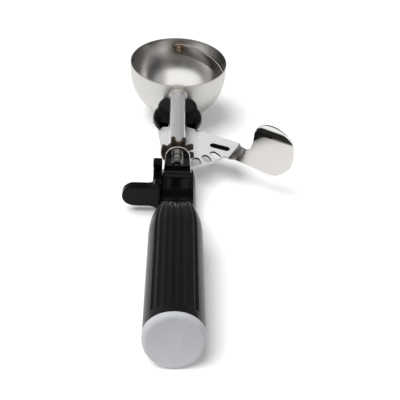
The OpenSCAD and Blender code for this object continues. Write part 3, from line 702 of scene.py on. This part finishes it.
# %% Pinion
pinion_at, pinion_face, hub_end = 95.4, 3.2, 100.8
root_r, tip_r, tooth_half, blank_r = 7.0, 11.0, 1.4, 10.0
tooth_turns = [radians(90 + 15.5 - 40 * i) for i in range(6)]


def pinion_reach(turn):
    far = root_r
    if 152 <= degrees(turn) % 360 <= 235:
        far = blank_r
    for tooth in tooth_turns:
        off = sin(turn - tooth)
        if cos(turn - tooth) < 0.5:
            continue
        middle = tip_r - tooth_half
        if abs(middle * off) < tooth_half:
            tip = sqrt(tooth_half ** 2 - (middle * off) ** 2)
            far = max(far, middle * cos(turn - tooth) + tip)
        else:
            far = max(far, min(tooth_half / abs(off), tip_r))
    return far


steps = 540
reaches = [pinion_reach(tau * k / steps) for k in range(steps)]
reaches = [(reaches[k - 1] + 2 * reaches[k] + reaches[(k + 1) % steps]) / 4 for k in range(steps)]
outline = [(r * cos(tau * k / steps), r * sin(tau * k / steps))
           for k, r in enumerate(reaches)]


pinion_bore, hub_at = 2.76, pinion_at + pinion_face - 0.1
pinion = plate("pinion_wheel", outline, [bored(pinion_bore, 48)], pinion_face,
               facing_back(pinion_at, pinion_face), 0.18)
dress(even(pinion), "sweeper", "dark_steel", sintered, "pinion")
hub = turned("pinion_hub", [(pinion_bore, hub_at), (5, hub_at, 0), (5, hub_end),
                            (pinion_bore, hub_end)], radius=0.35)
dress(even(hub), "sweeper", "dark_steel", sintered)

# %% [markdown]
# ## Bracket
# The arch behind the pinion is a plate with a round top that carries the shaft's rear bush. It
# is punched and then polished, so its edge is round and catches a bright line all the way
# round. Its foot is folded back over the arm inside the neck.

# %% Bracket
def as_drawn(points):
    """Corners that soften() leaves alone."""
    return [(x, y, 0) for x, y in points]


arch_r, arch_x, leg, arm_half, arm_top = 7.6, 0.5, -14.0, 6.0, -17.0
outline = soften([
    *as_drawn(arc(arch_r, 0, pi, 48, (0, 1))), (-arch_r - 1.4, leg, 0.5), (-arm_half, leg),
    (-arm_half, arm_top), (arm_half, arm_top), (arm_half, leg), (arch_r + 1.4, leg, 0.5)], 0.3)
bracket = plate("arch", outline, [bored(3.8, 64, (-arch_x, 0))], bracket_t,
                Matrix.Translation((arch_x, 0, 0)) @ facing_back(bracket_at, bracket_t), 0.4)
dress(even(bracket), "frame", "polished_steel", paddle_steel, "rear_bracket")
foot_place = (arch_x, -bracket_at - bracket_t + 0.3, arm_top + bracket_t / 2)
foot_outline = [(-arm_half, -9), (arm_half, -9), (arm_half, 0), (-arm_half, 0)]
foot = plate("arch_foot", soften(foot_outline, 0.4), [], bracket_t,
             Matrix.Translation(foot_place), 0.2)
dress(foot, "frame", "polished_steel", plate_steel)

# %% [markdown]
# ## Lever plate
# The flat half of the thumb lever is a quarter of a ring punched with slots that the pinion's
# teeth drop into. Drawing five slots by hand would leave them uneven. They follow a rule
# (equal turns round the pivot, each a little longer), so a loop lays them out. The long slot
# next to the bend is pressed, not punched through, so a thin floor closes it from below; its
# near-black colour is painted shade.

# %% Lever plate
rack_r, plate_top, plate_t, sector_r = 38.0, -9.0, 1.6, 42.5
slot_half, slot_pitch, slot_phase = 2.4, 10.4842, -1.1795
bend_near, bend_far = Vector((33.5, -30.9)), Vector((41.2, -17.3))
bend_dir = (bend_far - bend_near).normalized()
reach_dir = Vector((bend_dir.y, -bend_dir.x))


def long_hole(length, width, middle, turn):
    """Outline of a slot with round ends, turned about the pivot's own direction."""
    loop = arc(width / 2, 0, pi, 14, (0, (length - width) / 2))
    loop += [(-x, -y) for x, y in loop]
    turn = Matrix.Rotation(turn, 2)
    return [turn @ Vector(point) + Vector(middle) for point in loop][::-1]


holes = [bored(2.55, 48)]
for i in range(5):
    turn = radians(slot_phase + i * slot_pitch)
    middle = (rack_r * sin(turn), -rack_r * cos(turn))
    holes.append(long_hole(7 + 0.3 * i, 2 * slot_half, middle, turn))
groove_len, groove_w, groove_rim = 13.6, 4.6, 0.3
groove_place, groove_turn = (28.3, -20.4), radians(70)
holes.append(long_hole(groove_len, groove_w, groove_place, groove_turn))
rear_left = Vector((-6.9, -41.94))
rim = arc(sector_r, atan2(rear_left.y, rear_left.x), radians(46 - 90), 40)
ear = arc(6.5, radians(15), radians(165), 16)
outline = soften([(-12.9, -4.5, 1.6), (*rim[0], 1.2), *as_drawn(rim[1:]), (*bend_near, 0),
                  (*bend_far, 0), (41.5, -15.0, 1.6), (7.2, 0.6, 0.5),
                  *as_drawn((x, y) for x, y in ear if x < 6.2), (-6.3, 0.0, 1.0),
                  (-10.1, 0, 1.6)], 0.4)
lever_plane = Matrix.Translation((0, -pivot_station, plate_top - plate_t / 2))
lever_plate = plate("lever_plate", outline, holes, plate_t, lever_plane, 0.22)
dress(even(lever_plate), "lever", "polished_steel", plate_steel, "thumb_lever")
groove_outline = long_hole(groove_len + 2 * groove_rim, groove_w + 2 * groove_rim,
                           groove_place, groove_turn)
# Painted shade: the groove's floor is near-black steel.
floor_t = 0.4
groove = plate("groove_floor", groove_outline[::-1], [], floor_t,
               lever_plane @ Matrix.Translation((0, 0, (floor_t - plate_t) / 2)), 0.1)
dress(groove, "lever", "polished_steel", dark_steel)

# %% [markdown]
# ## Paddle
# Past the bend the same sheet narrows, twists upright and spreads into the paddle for the
# thumb. A twisted sheet is a grid: one direction runs along the reach, the other up the face.
# Two smooth lines give the lower and the upper edge, and a rule bends the grid into
# space: the sheet turns fast at the bend and comes to rest upright, then the top curls back.
# The front sinks a little towards its edge, so a narrow light line follows the outline.

# %% Paddle outline
top_edge = [(0, 15.63), (4.52, 9.66), (6.88, 9.63), (8.65, 9.82), (10.37, 10.09), (11.74, 10.48),
            (12.93, 11.86), (13.73, 13.62), (14.37, 16.48), (14.66, 19.3), (14.71, 22.38),
            (14.7, 25.39), (15.27, 28), (16.29, 29.98), (17.93, 31.54), (20.09, 32.64),
            (23.09, 33.23), (26.35, 33.14), (29.85, 32.44), (33.29, 31.09), (36.16, 29.53),
            (38.46, 27.17), (40.25, 23.19), (41.3, 17), (41.5, 14.5)]
low_edge = [(0, 0), (2, 0), (4.5, -0.1), (7.5, -0.25), (10, -0.5), (12, -0.75), (13.6, -0.95),
            (14.8, -1.1), (15.8, -1.2), (16.8, -1.25), (18.2, -1.35), (19.8, -1.5), (21.5, -1.7),
            (23.8, -1.95), (26, -1.97), (28.7, -1.9), (31.3, -1.4), (33.6, -0.4), (35.8, 1.5),
            (38, 3.9), (39.8, 6.5), (40.9, 9), (41.45, 12.3)]
lean, twist_end, flat_h, curl_r = radians(90), 11.0, 25.0, 10.0
lip_w, lip_sink, edge_round, columns, rows = 1.2, 0.3, 0.72, 140, 96
print("paddle:", len(top_edge), "points above,", len(low_edge), "below")

# %% Paddle
def smooth_line(points, count):
    """Points along a smooth curve through the given ones (Catmull-Rom), evenly by number."""
    points = [Vector(point) for point in points]
    ends = [2 * points[0] - points[1], *points, 2 * points[-1] - points[-2]]
    out = []
    for i in range(count + 1):
        place = i / count * (len(points) - 1)
        k = min(int(place), len(points) - 2)
        t = place - k
        a, b, c, d = ends[k:k + 4]
        out.append(0.5 * (2 * b + (c - a) * t + (2 * a - 5 * b + 4 * c - d) * t * t
                          + (3 * b - a - 3 * c + d) * t ** 3))
    return out


def ease(share):
    share = max(0.0, min(1.0, share))
    return share * share * (3 - 2 * share)


def sheet_point(along, up, depth):
    """A point of the sheet, depth behind its front face."""
    turn = lean * sin(pi / 2 * min(1.0, max(0.0, along / twist_end)))
    curl = max(0.0, up - flat_h) / curl_r
    rise, away = min(up, flat_h) + curl_r * sin(curl), curl_r * (1 - cos(curl))
    side = rise * cos(turn) + away * sin(turn) + depth * sin(turn - curl)
    height = rise * sin(turn) - away * cos(turn) - depth * cos(turn - curl)
    base = bend_near + along * reach_dir + side * bend_dir
    return (base.x, base.y - pivot_station, plate_top + height)


def paddle_grid(depth, sink):
    """A face of the paddle, sunk by sink at its upper and lower edge."""
    grid = []
    for high, low in zip(smooth_line(top_edge, columns), smooth_line(low_edge, columns)):
        line = []
        for k in range(rows + 1):
            at = low.lerp(high, k / rows)
            inward = min(k, rows - k) / rows * (high - low).length
            lip = max(0.0, 1 - inward / lip_w) if at.x > twist_end + 3 else 0
            line.append(sheet_point(at.x, at.y, depth + sink * lip ** 2))
        grid.append(line)
    return grid


paddle = shell("paddle", paddle_grid(0.0, lip_sink), paddle_grid(plate_t, 0.0), sharp=50)
edge = paddle.modifiers.new("round edge", "BEVEL")
edge.width, edge.segments = edge_round / 1000, 4
edge.limit_method, edge.angle_limit = "ANGLE", radians(60)
dress(even(paddle), "lever", "polished_steel", paddle_steel, "thumb_lever")

# %% [markdown]
# ## Housing, neck and thumb rest
# These black mouldings have no sharp edge and flow into their corners. Modelling such
# fillets by hand is slow and a bevel fails where curved faces cross. A voxel remesh of
# the exact solid followed by a few rounds of smoothing rounds every edge and fills every
# corner by the same small radius, which is what a mould does. Shapes that only have to melt
# into a moulding go in before the remesh: the two rounded ends behind the housing and the
# widening root of the thumb rest.

# %% Black mouldings
def moulded(node, grain, rounds, extra=()):
    """A moulding: a copy of the solid's mesh made of even small faces, then relaxed, which
    rounds each edge and fills each inside corner as a mould does. extra holds shapes that
    melt into it."""
    obj = linked(node + "_moulded", nodes[node].data.copy())
    obj.data.materials.clear()
    if extra:
        mesh = bmesh.new()
        mesh.from_mesh(obj.data)
        for other in extra:
            mesh.from_mesh(other.data)
            bpy.data.objects.remove(other)
        mesh.to_mesh(obj.data)
        mesh.free()
    settle(obj)
    remesh = obj.modifiers.new("even faces", "REMESH")
    remesh.mode, remesh.voxel_size, remesh.use_smooth_shade = "VOXEL", grain / 1000, True
    relax = obj.modifiers.new("relax", "SMOOTH")
    relax.factor, relax.iterations = 0.5, rounds
    mesh = baked(obj)
    obj.modifiers.clear()
    obj.data = mesh
    obj.data.shade_smooth()
    return obj


grain = 0.35
horn = [(16.6, 8), (16.2, 2), (15.2, -1), (13.8, -3.4), (12.7, -4.6), (12.0, -4.6),
        (11.6, 2), (11.6, 8)]
horns = [plate("horn", soften([(side * x, y) for x, y in horn], 0.6), [], 4.9,
               Matrix.Translation((0, -pivot_station, -6.1)), 1.2) for side in (-1, 1)]
housing = moulded("pivot_housing", grain, 8, horns)
dress(housing, "frame", "black_plastic", black_nylon, "pivot_housing")
neck = moulded("handle_neck", grain, 6)
dress(neck, "frame", "black_plastic", black_nylon, "handle_neck")
root = [(-21, -19.5, 0.2), (-18, -20.3), (-15, -20.9), (-12.8, -22), (-11.2, -23.3),
        (-10.4, -23.9, 0.2), (-9, -23.9, 0.2), (-9, -2, 0.2), (-12.6, -2, 0.2), (-13.4, -3.6),
        (-15.2, -4.8), (-18, -5.3), (-21, -6, 0.2)]
flare = plate("flare", soften(root, 1.0), [], 5.2, facing_back(120.1, 5.2), 0.9)
thumb = moulded("thumb_rest", grain, 12, [flare])
dress(thumb, "frame", "black_plastic", black_nylon, "thumb_rest")

# %% [markdown]
# ## Grip
# The grip is a rod with a domed front, sloped off at the top, with seven finger grooves. The
# plain body is a grid of sections. The grooves are cut by Geometry Nodes, because they
# follow a rule: each point asks how far it is from the middle of the nearest groove and
# sinks by the depth of a round-bottomed cutter there. Changing the number or the depth is
# then one input, and the ends of the grooves come out round by themselves. The joint with
# the cap slants, so the last sections shift by an amount that grows towards the underside.

# %% Grip body
grip_r, grip_at, cap_at, dome = 14.4, 141.5, 225.5, 26.5
slope_r, slope_at = 1.8 * grip_r, grip_at + 0.96 * dome


def grip_section(station):
    """Radius of the rod and height of the sloped top at a station."""
    back = max(0.0, grip_at + dome - station)
    radius = grip_r * sqrt(max(1 - (back / dome) ** 2, 0))
    off = slope_at - station
    top = grip_r - slope_r + sqrt(slope_r ** 2 - off ** 2) if off > 0 else 2 * grip_r
    return radius, top


def joint_shift(height):
    """How far behind cap_at the joint with the cap lies at a height: it slants."""
    return 2.1 - 0.18 * height


def grip_point(station, angle):
    radius, top = grip_section(station)
    middle = min(0.0, (top - radius) / 2)
    x, z = sin(angle), cos(angle)
    far = -middle * z + sqrt(max(radius ** 2 - (middle * x) ** 2, 0))
    if z > 0 and (top - middle) / z < far + 3:
        flat = (top - middle) / z
        blend = ease((far - flat) / 2.4 + 0.5)
        far = far + (flat - far) * blend - 0.45 * blend * (1 - blend)
    height = middle + z * far
    return (x * far, -station - ease((station - cap_at + 12) / 12) * joint_shift(height), height)


tip_cut = 0.85
stations = [grip_at + tip_cut + (dome - tip_cut) * (k / 70) ** 1.6 for k in range(71)]
stations += [grip_at + dome + (cap_at - grip_at - dome) * k / 150 for k in range(1, 151)]
fine = [radians(-54 + 108 * k / 130) for k in range(131)]
coarse = [radians(54 + 252 * k / 70) for k in range(1, 70)]
angles = fine + coarse
points = [grip_point(s, a) for s in stations for a in angles]
count = len(angles)
faces = [(a + k, a + (k + 1) % count, a + count + (k + 1) % count, a + count + k)
         for a in range(0, (len(stations) - 1) * count, count) for k in range(count)]
faces += [tuple(range(count)), tuple((len(stations) - 1) * count + k for k in range(count))[::-1]]
grip = piece("grip_body", points, faces, 60)
print("grip body", len(grip.data.polygons), "faces")

# %% Groove nodes
class Nodes(Paint):
    """A Geometry Nodes tree with named number inputs."""

    def __init__(self, name, takes_mesh, **inputs):
        self.group = bpy.data.node_groups.new(name, "GeometryNodeTree")
        super().__init__(self.group)
        face = self.group.interface
        if takes_mesh:
            face.new_socket("Geometry", in_out="INPUT", socket_type="NodeSocketGeometry")
        for key in inputs:
            face.new_socket(key.replace("_", " "), in_out="INPUT", socket_type="NodeSocketFloat")
        face.new_socket("Geometry", in_out="OUTPUT", socket_type="NodeSocketGeometry")
        self.entry = self.group.nodes.new("NodeGroupInput")
        self.values = inputs

    def given(self, name):
        return Wire(self, self.entry.outputs[name.replace("_", " ")])

    def finish(self, obj, shape, material, name):
        """Ends the tree with Realize Instances and Set Material, runs it on obj and keeps
        the result as a plain mesh."""
        real = self.node("GeometryNodeRealizeInstances", {}, {"Geometry": shape})
        made = self.node("GeometryNodeSetMaterial", {}, {"Geometry": real, "Material": material})
        leave = self.group.nodes.new("NodeGroupOutput")
        self.group.links.new(made.socket, leave.inputs["Geometry"])
        modifier = obj.modifiers.new("rule", "NODES")
        modifier.node_group = self.group
        sockets = {item.name: item.identifier for item in self.group.interface.items_tree
                   if item.in_out == "INPUT"}
        for key, value in self.values.items():
            modifier[sockets[key.replace("_", " ")]] = float(value)
        mesh = baked(obj)
        obj.modifiers.clear()
        obj.data = mesh
        obj.name = mesh.name = name


rule = Nodes("finger_grooves", True, Groove_count=7, Groove_pitch=radians(14.4),
             Cutter_radius=1.3, Depth=0.9, Front=grip_at + 6.0, Back=cap_at - 5.9, Taper=1.2,
             Grip_radius=grip_r)
count, pitch, cutter, depth, front, back, taper, grip_radius = (
    rule.given(name) for name in rule.values)
print("rule with", ", ".join(rule.values))

# %% Groove rule
def leaned(vector, angle):
    """A vector turned about the X axis."""
    return rule.node("ShaderNodeVectorRotate", {"rotation_type": "X_AXIS"},
                     {"Vector": vector, "Angle": angle})


back_share, lip_blend = 0.33, 0.22
millimetres = rule.vector("MULTIPLY", rule.node("GeometryNodeInputPosition"), (1000, 1000, 1000))
x, y, z = rule.split(rule.vector("ADD", leaned(millimetres, -tilt), unseat.to_translation()))
around = x.math("ARCTAN2", x, z)
half = (count - 1) * 0.5
nearest = (around / pitch).math("ROUND", around / pitch, 0.0).most(0 - half).least(half)
across = (around - nearest * pitch) * grip_radius
before = front + nearest.size() * taper + y
behind = 0 - y - back - nearest.size() * taper * back_share
along = before.most(behind).most(0.0)
inside = cutter * cutter - (across * across + along * along)
sink = inside.math("SQRT", inside.most(0.0), 0.0) - (cutter - depth)
soft = sink.math("SMOOTH_MAX", sink, 0.0)
soft.socket.node.inputs[2].default_value = lip_blend
on_top = 1 - (0 - z).above(-6.0, -4.0)
outward = rule.vector("NORMALIZE", rule.node("ShaderNodeCombineXYZ", {}, {0: x, 2: z}))
shift = rule.node("ShaderNodeVectorMath", {"operation": "SCALE"}, {
    0: leaned(outward, tilt), "Scale": soft * -0.001 * on_top})
cut_grip = rule.node("GeometryNodeSetPosition", {}, {
    "Geometry": rule.given("Geometry"), "Offset": shift})
rule.finish(grip, cut_grip, grip_nylon, "grip")
grip.data.shade_smooth()
grip.data.set_sharp_from_angle(angle=radians(60))
dress(grip, "frame", "black_plastic", grip_nylon, "handle_grip")

# %% [markdown]
# ## End cap
# A satin cap closes the grip. Its outer face leans forward at the top and its rim has a
# generous soft edge. A straight cap is spun about the grip's axis and then raked: the farther up a
# point lies, the farther forward it goes. Such a shear keeps the round side round and the
# soft edge tangent to it all the way. The seat follows the slanted joint. The face is bare.

# %% End cap
cap_r, cap_len, cap_edge, rake = 14.5, 6.5, 2.5, tan(radians(20))


def raked(radius, station, angle):
    x, y, z = about_shank(radius, station, angle)
    joint = -cap_at - joint_shift(z)
    return (x, y + joint + cap_at if station <= cap_at else min(y + rake * z, joint - 0.15), z)


cap_end, plug_r, plug_at = cap_at + cap_len, 10, cap_at - 3.9
rim = as_drawn(arc(cap_edge, 0, pi / 2, 12, (cap_r - cap_edge, cap_end - cap_edge)))
cap = turned("cap", [
    (0, plug_at), (plug_r, plug_at, 0.3), (plug_r, cap_at, 0), (cap_r - 0.1, cap_at, 0),
    (cap_r, cap_at + 0.2, 0), (cap_r, cap_at + 2, 0), *rim,
    *((r, cap_end, 0) for r in (9, 6, 3)), (0, cap_end)], raked, 144)
dress(even(cap), "frame", "cap_grey", cap_plastic, "end_cap")

# %% [markdown]
# ## Return spring
# The spring is wire wound round the lever's screw. Geometry Nodes have a Spiral, and Curve to
# Mesh sweeps a small circle along it: the natural tools for wire, with the turns, the
# radius and the wire's thickness as inputs.

# %% Spring
host = linked("spring", bpy.data.meshes.new("spring"))
wire = Nodes("return_spring", False, Turns=3, Coil_radius=5.2, Rise=3.5, Wire_radius=0.5, Low=-15.2)
coil = wire.node("GeometryNodeCurveSpiral", {}, {
    "Resolution": 40, "Rotations": wire.given("Turns"), "Start Radius": wire.given("Coil_radius"),
    "End Radius": wire.given("Coil_radius"), "Height": wire.given("Rise")})
section = wire.node("GeometryNodeCurvePrimitiveCircle", {}, {
    "Resolution": 12, "Radius": wire.given("Wire_radius")})
swept = wire.node("GeometryNodeCurveToMesh", {}, {
    "Curve": coil, "Profile Curve": section, "Fill Caps": True})
height = wire.node("ShaderNodeCombineXYZ", {}, {2: wire.given("Low")})
placed = wire.node("GeometryNodeTransform", {}, {"Geometry": swept, "Translation": height})
wire.finish(host, placed, turned_steel, "spring")
host.data.transform(seat @ Matrix.Translation((0, -pivot_station, 0)))
host.data.shade_smooth()
dress(host, "frame", "inner_steel", turned_steel, "lever_spring")

# %% [markdown]
# ## Bracket screws
# Two equal screws hold the bracket. Equal parts are instances: Geometry Nodes put one turned
# screw on each point of a short line, and Realize Instances makes them solid.

# %% Bracket screws
apart, screw_len = 6.4, 4.5
one = turned("one_screw", [
    (0, 0), (1.5, 0, 0.3), (1.5, screw_len, 0), (2.8, screw_len, 0.1), (2.8, 6.1, 0.5),
    (0.8, 6.1, 0.1), (0.8, 5.3, 0.1), (0, 5.3)], segments=32)
one.data.transform(Matrix.Rotation(pi / 2, 4, "X") @ unseat)
host = linked("screws", bpy.data.meshes.new("screws"))
pair = Nodes("bracket_screws", False, Count=2, Apart=apart)
offset = pair.node("ShaderNodeCombineXYZ", {}, {0: pair.given("Apart")})
line = pair.node("GeometryNodeMeshLine", {"mode": "OFFSET"}, {
    "Count": pair.given("Count"), "Offset": offset})
shape = pair.node("GeometryNodeObjectInfo", {}, {"Object": one}, out="Geometry")
placed = pair.node("GeometryNodeInstanceOnPoints", {}, {"Points": line, "Instance": shape})
pair.finish(host, placed, turned_steel, "screws")
bpy.data.objects.remove(one)
host.data.transform(seat @ Matrix.Translation(
    (arch_x - apart / 2, -bracket_at - bracket_t - 5, arm_top + bracket_t)))
dress(host, "frame", "inner_steel", turned_steel, "bracket_screws")

# %% [markdown]
# ## Arm and small parts
# The steel arm and the plain screws, washers and bushes keep the exact shape of their solids.
# A copy of the mesh gets its edges broken by a Bevel, as a deburring wheel would.

# %% Arm and small parts
def dressed(node, edge):
    """A copy of a solid's mesh with its flat faces joined and its edges rounded."""
    sharp = radians(30)
    obj = linked(node + "_dressed", nodes[node].data.copy())
    obj.data.materials.clear()
    mesh = bmesh.new()
    mesh.from_mesh(obj.data)
    bmesh.ops.remove_doubles(mesh, verts=mesh.verts, dist=2e-6)
    bmesh.ops.dissolve_limit(mesh, angle_limit=radians(1), verts=mesh.verts, edges=mesh.edges)
    mesh.to_mesh(obj.data)
    mesh.free()
    obj.data.shade_smooth()
    obj.data.set_sharp_from_angle(angle=sharp)
    bevel = obj.modifiers.new("soft edge", "BEVEL")
    bevel.width, bevel.segments, bevel.harden_normals = edge / 1000, 2, False
    bevel.limit_method, bevel.angle_limit = "ANGLE", sharp
    return obj


plain = {"polished_steel": plate_steel, "inner_steel": turned_steel, "bush_brass": bush_brass}
for node, edge, slot in (
        ("frame_arm", 0.35, "polished_steel"), ("pivot_screw", 0.2, "inner_steel"),
        ("housing_screw", 0.2, "inner_steel"), ("pivot_spacer", 0.1, "bush_brass"),
        ("pivot_washer", 0.08, "bush_brass"), ("front_bush", 0.1, "bush_brass"),
        ("grip_washer", 0.15, "inner_steel"), ("grip_nut", 0.25, "inner_steel")):
    dress(dressed(node, edge), "frame", slot, plain[slot], node)
dress(dressed("pinion_pin", 0.15), "sweeper", "inner_steel", turned_steel, "pinion_pin")

# %% [markdown]
# ## Camera
# The camera stands behind the end of the handle and above it, rolled by a few degrees. Its
# place is worked out in the scoop's own space and carried over by the same matrix.

# %% Camera
azimuth, elevation, roll = (radians(v) for v in (4.226, 43.594, -4.447))
level = cos(elevation)
ahead = Vector((sin(azimuth) * level, cos(azimuth) * level, -sin(elevation)))
right = ahead.cross(Vector((0, 0, 1))).normalized()
down = ahead.cross(right)
side = cos(roll) * right + sin(roll) * down
below = -sin(roll) * right + cos(roll) * down
turn = seat.to_3x3().normalized() @ Matrix((side, -below, -ahead)).transposed()
stand = Vector((-2.87, -360.55, 210.61))
camera = linked("camera", bpy.data.cameras.new("camera"))
camera.matrix_world = Matrix.Translation(seat @ stand) @ turn.to_4x4()
camera.data.sensor_width, camera.data.lens = 36, 48.6
camera.data.clip_start, camera.data.clip_end = 0.01, 20
bpy.context.scene.camera = camera
print("camera at", [round(v, 4) for v in camera.matrix_world.translation])

# %% [markdown]
# ## Table
# The table is white and keeps the soft shadow. It is small on purpose: steel mirrors it as
# far as it reaches, and past its front edge the mirrors find the dark part of the room. A
# little glow, seen by the camera only, lifts it to the white of the room behind it.

# %% Table
bpy.context.scene.view_settings.view_transform = "Standard"
corners, table_z = ((-0.24, -0.175), (0.8, -0.175), (0.8, 0.9), (-0.24, 0.9)), -0.0002
floor_mesh = bpy.data.meshes.new("table")
floor_mesh.from_pydata([(x, y, table_z) for x, y in corners], [], [(0, 1, 2, 3)])
floor = linked("table", floor_mesh)
table, paint = finish("table")
floor.data.materials.append(table)
direct = paint.node("ShaderNodeLightPath", out="Is Camera Ray")
white = paint.node("ShaderNodeBsdfDiffuse", {}, {"Color": (0.86, 0.86, 0.86, 1)})
glow = paint.node("ShaderNodeEmission", {}, {"Color": (1, 1, 1, 1), "Strength": direct * 0.14})
both = paint.node("ShaderNodeAddShader", {}, {0: white, 1: glow})
paint.close("ShaderNodeOutputMaterial", both)
print("table", len(floor_mesh.polygons), "face")

# %% [markdown]
# ## Room
# Steel is only as good as what it mirrors. To the camera the room is plain white. Glossy
# rays meet a studio instead: mid-grey walls, lighter on the left, a dark ceiling, and behind
# the camera a wide bright window above a strip of darkness. Because the light path node
# tells the kinds of ray apart, one background serves both.

# %% Room
room = bpy.data.worlds.new("room")
room.use_nodes = True
bpy.context.scene.world = room
paint = Paint(room.node_tree)
east, north, up = paint.split(paint.node("ShaderNodeTexCoord", out="Generated"))
front = (0 - north).above(-0.15, 0.4)
window = front * up.above(0.25, 0.42) * (1 - up.above(0.84, 0.93))
window = window * (1 - 0.8 * east.above(0.35, 0.7))
walls = (0.28 + 0.22 * (0 - east).above(0.2, 0.8)) * (1 - 0.75 * up.above(0.88, 0.97))
mirror = walls * (1 - window) + 1.25 * window
mirror = mirror * (1 - 0.95 * front * (1 - up.above(0.2, 0.36)))
path = paint.node("ShaderNodeLightPath", out="Is Camera Ray")
gloss = paint.node("ShaderNodeLightPath", out="Is Glossy Ray")
level = path + gloss * mirror + (1 - path) * (1 - gloss) * 0.38
lit = paint.node("ShaderNodeBackground", {}, {"Color": (1, 1, 1, 1), "Strength": level})
paint.close("ShaderNodeOutputWorld", lit)
print("room:", len(room.node_tree.nodes), "nodes")

# %% [markdown]
# ## Lamp
# One very soft sun stands in for a large lamp at the upper left. It is hidden from glossy
# rays, because the window above already is what the steel mirrors.

# %% Lamp
light = bpy.data.lights.new("softbox", "SUN")
light.energy, light.angle = 2.95, radians(45)
softbox = linked("softbox", light)
softbox.rotation_euler = Vector((-0.36, -0.03, 0.93)).to_track_quat("Z", "Y").to_euler()
softbox.visible_glossy = False
print("one soft lamp of strength", light.energy)
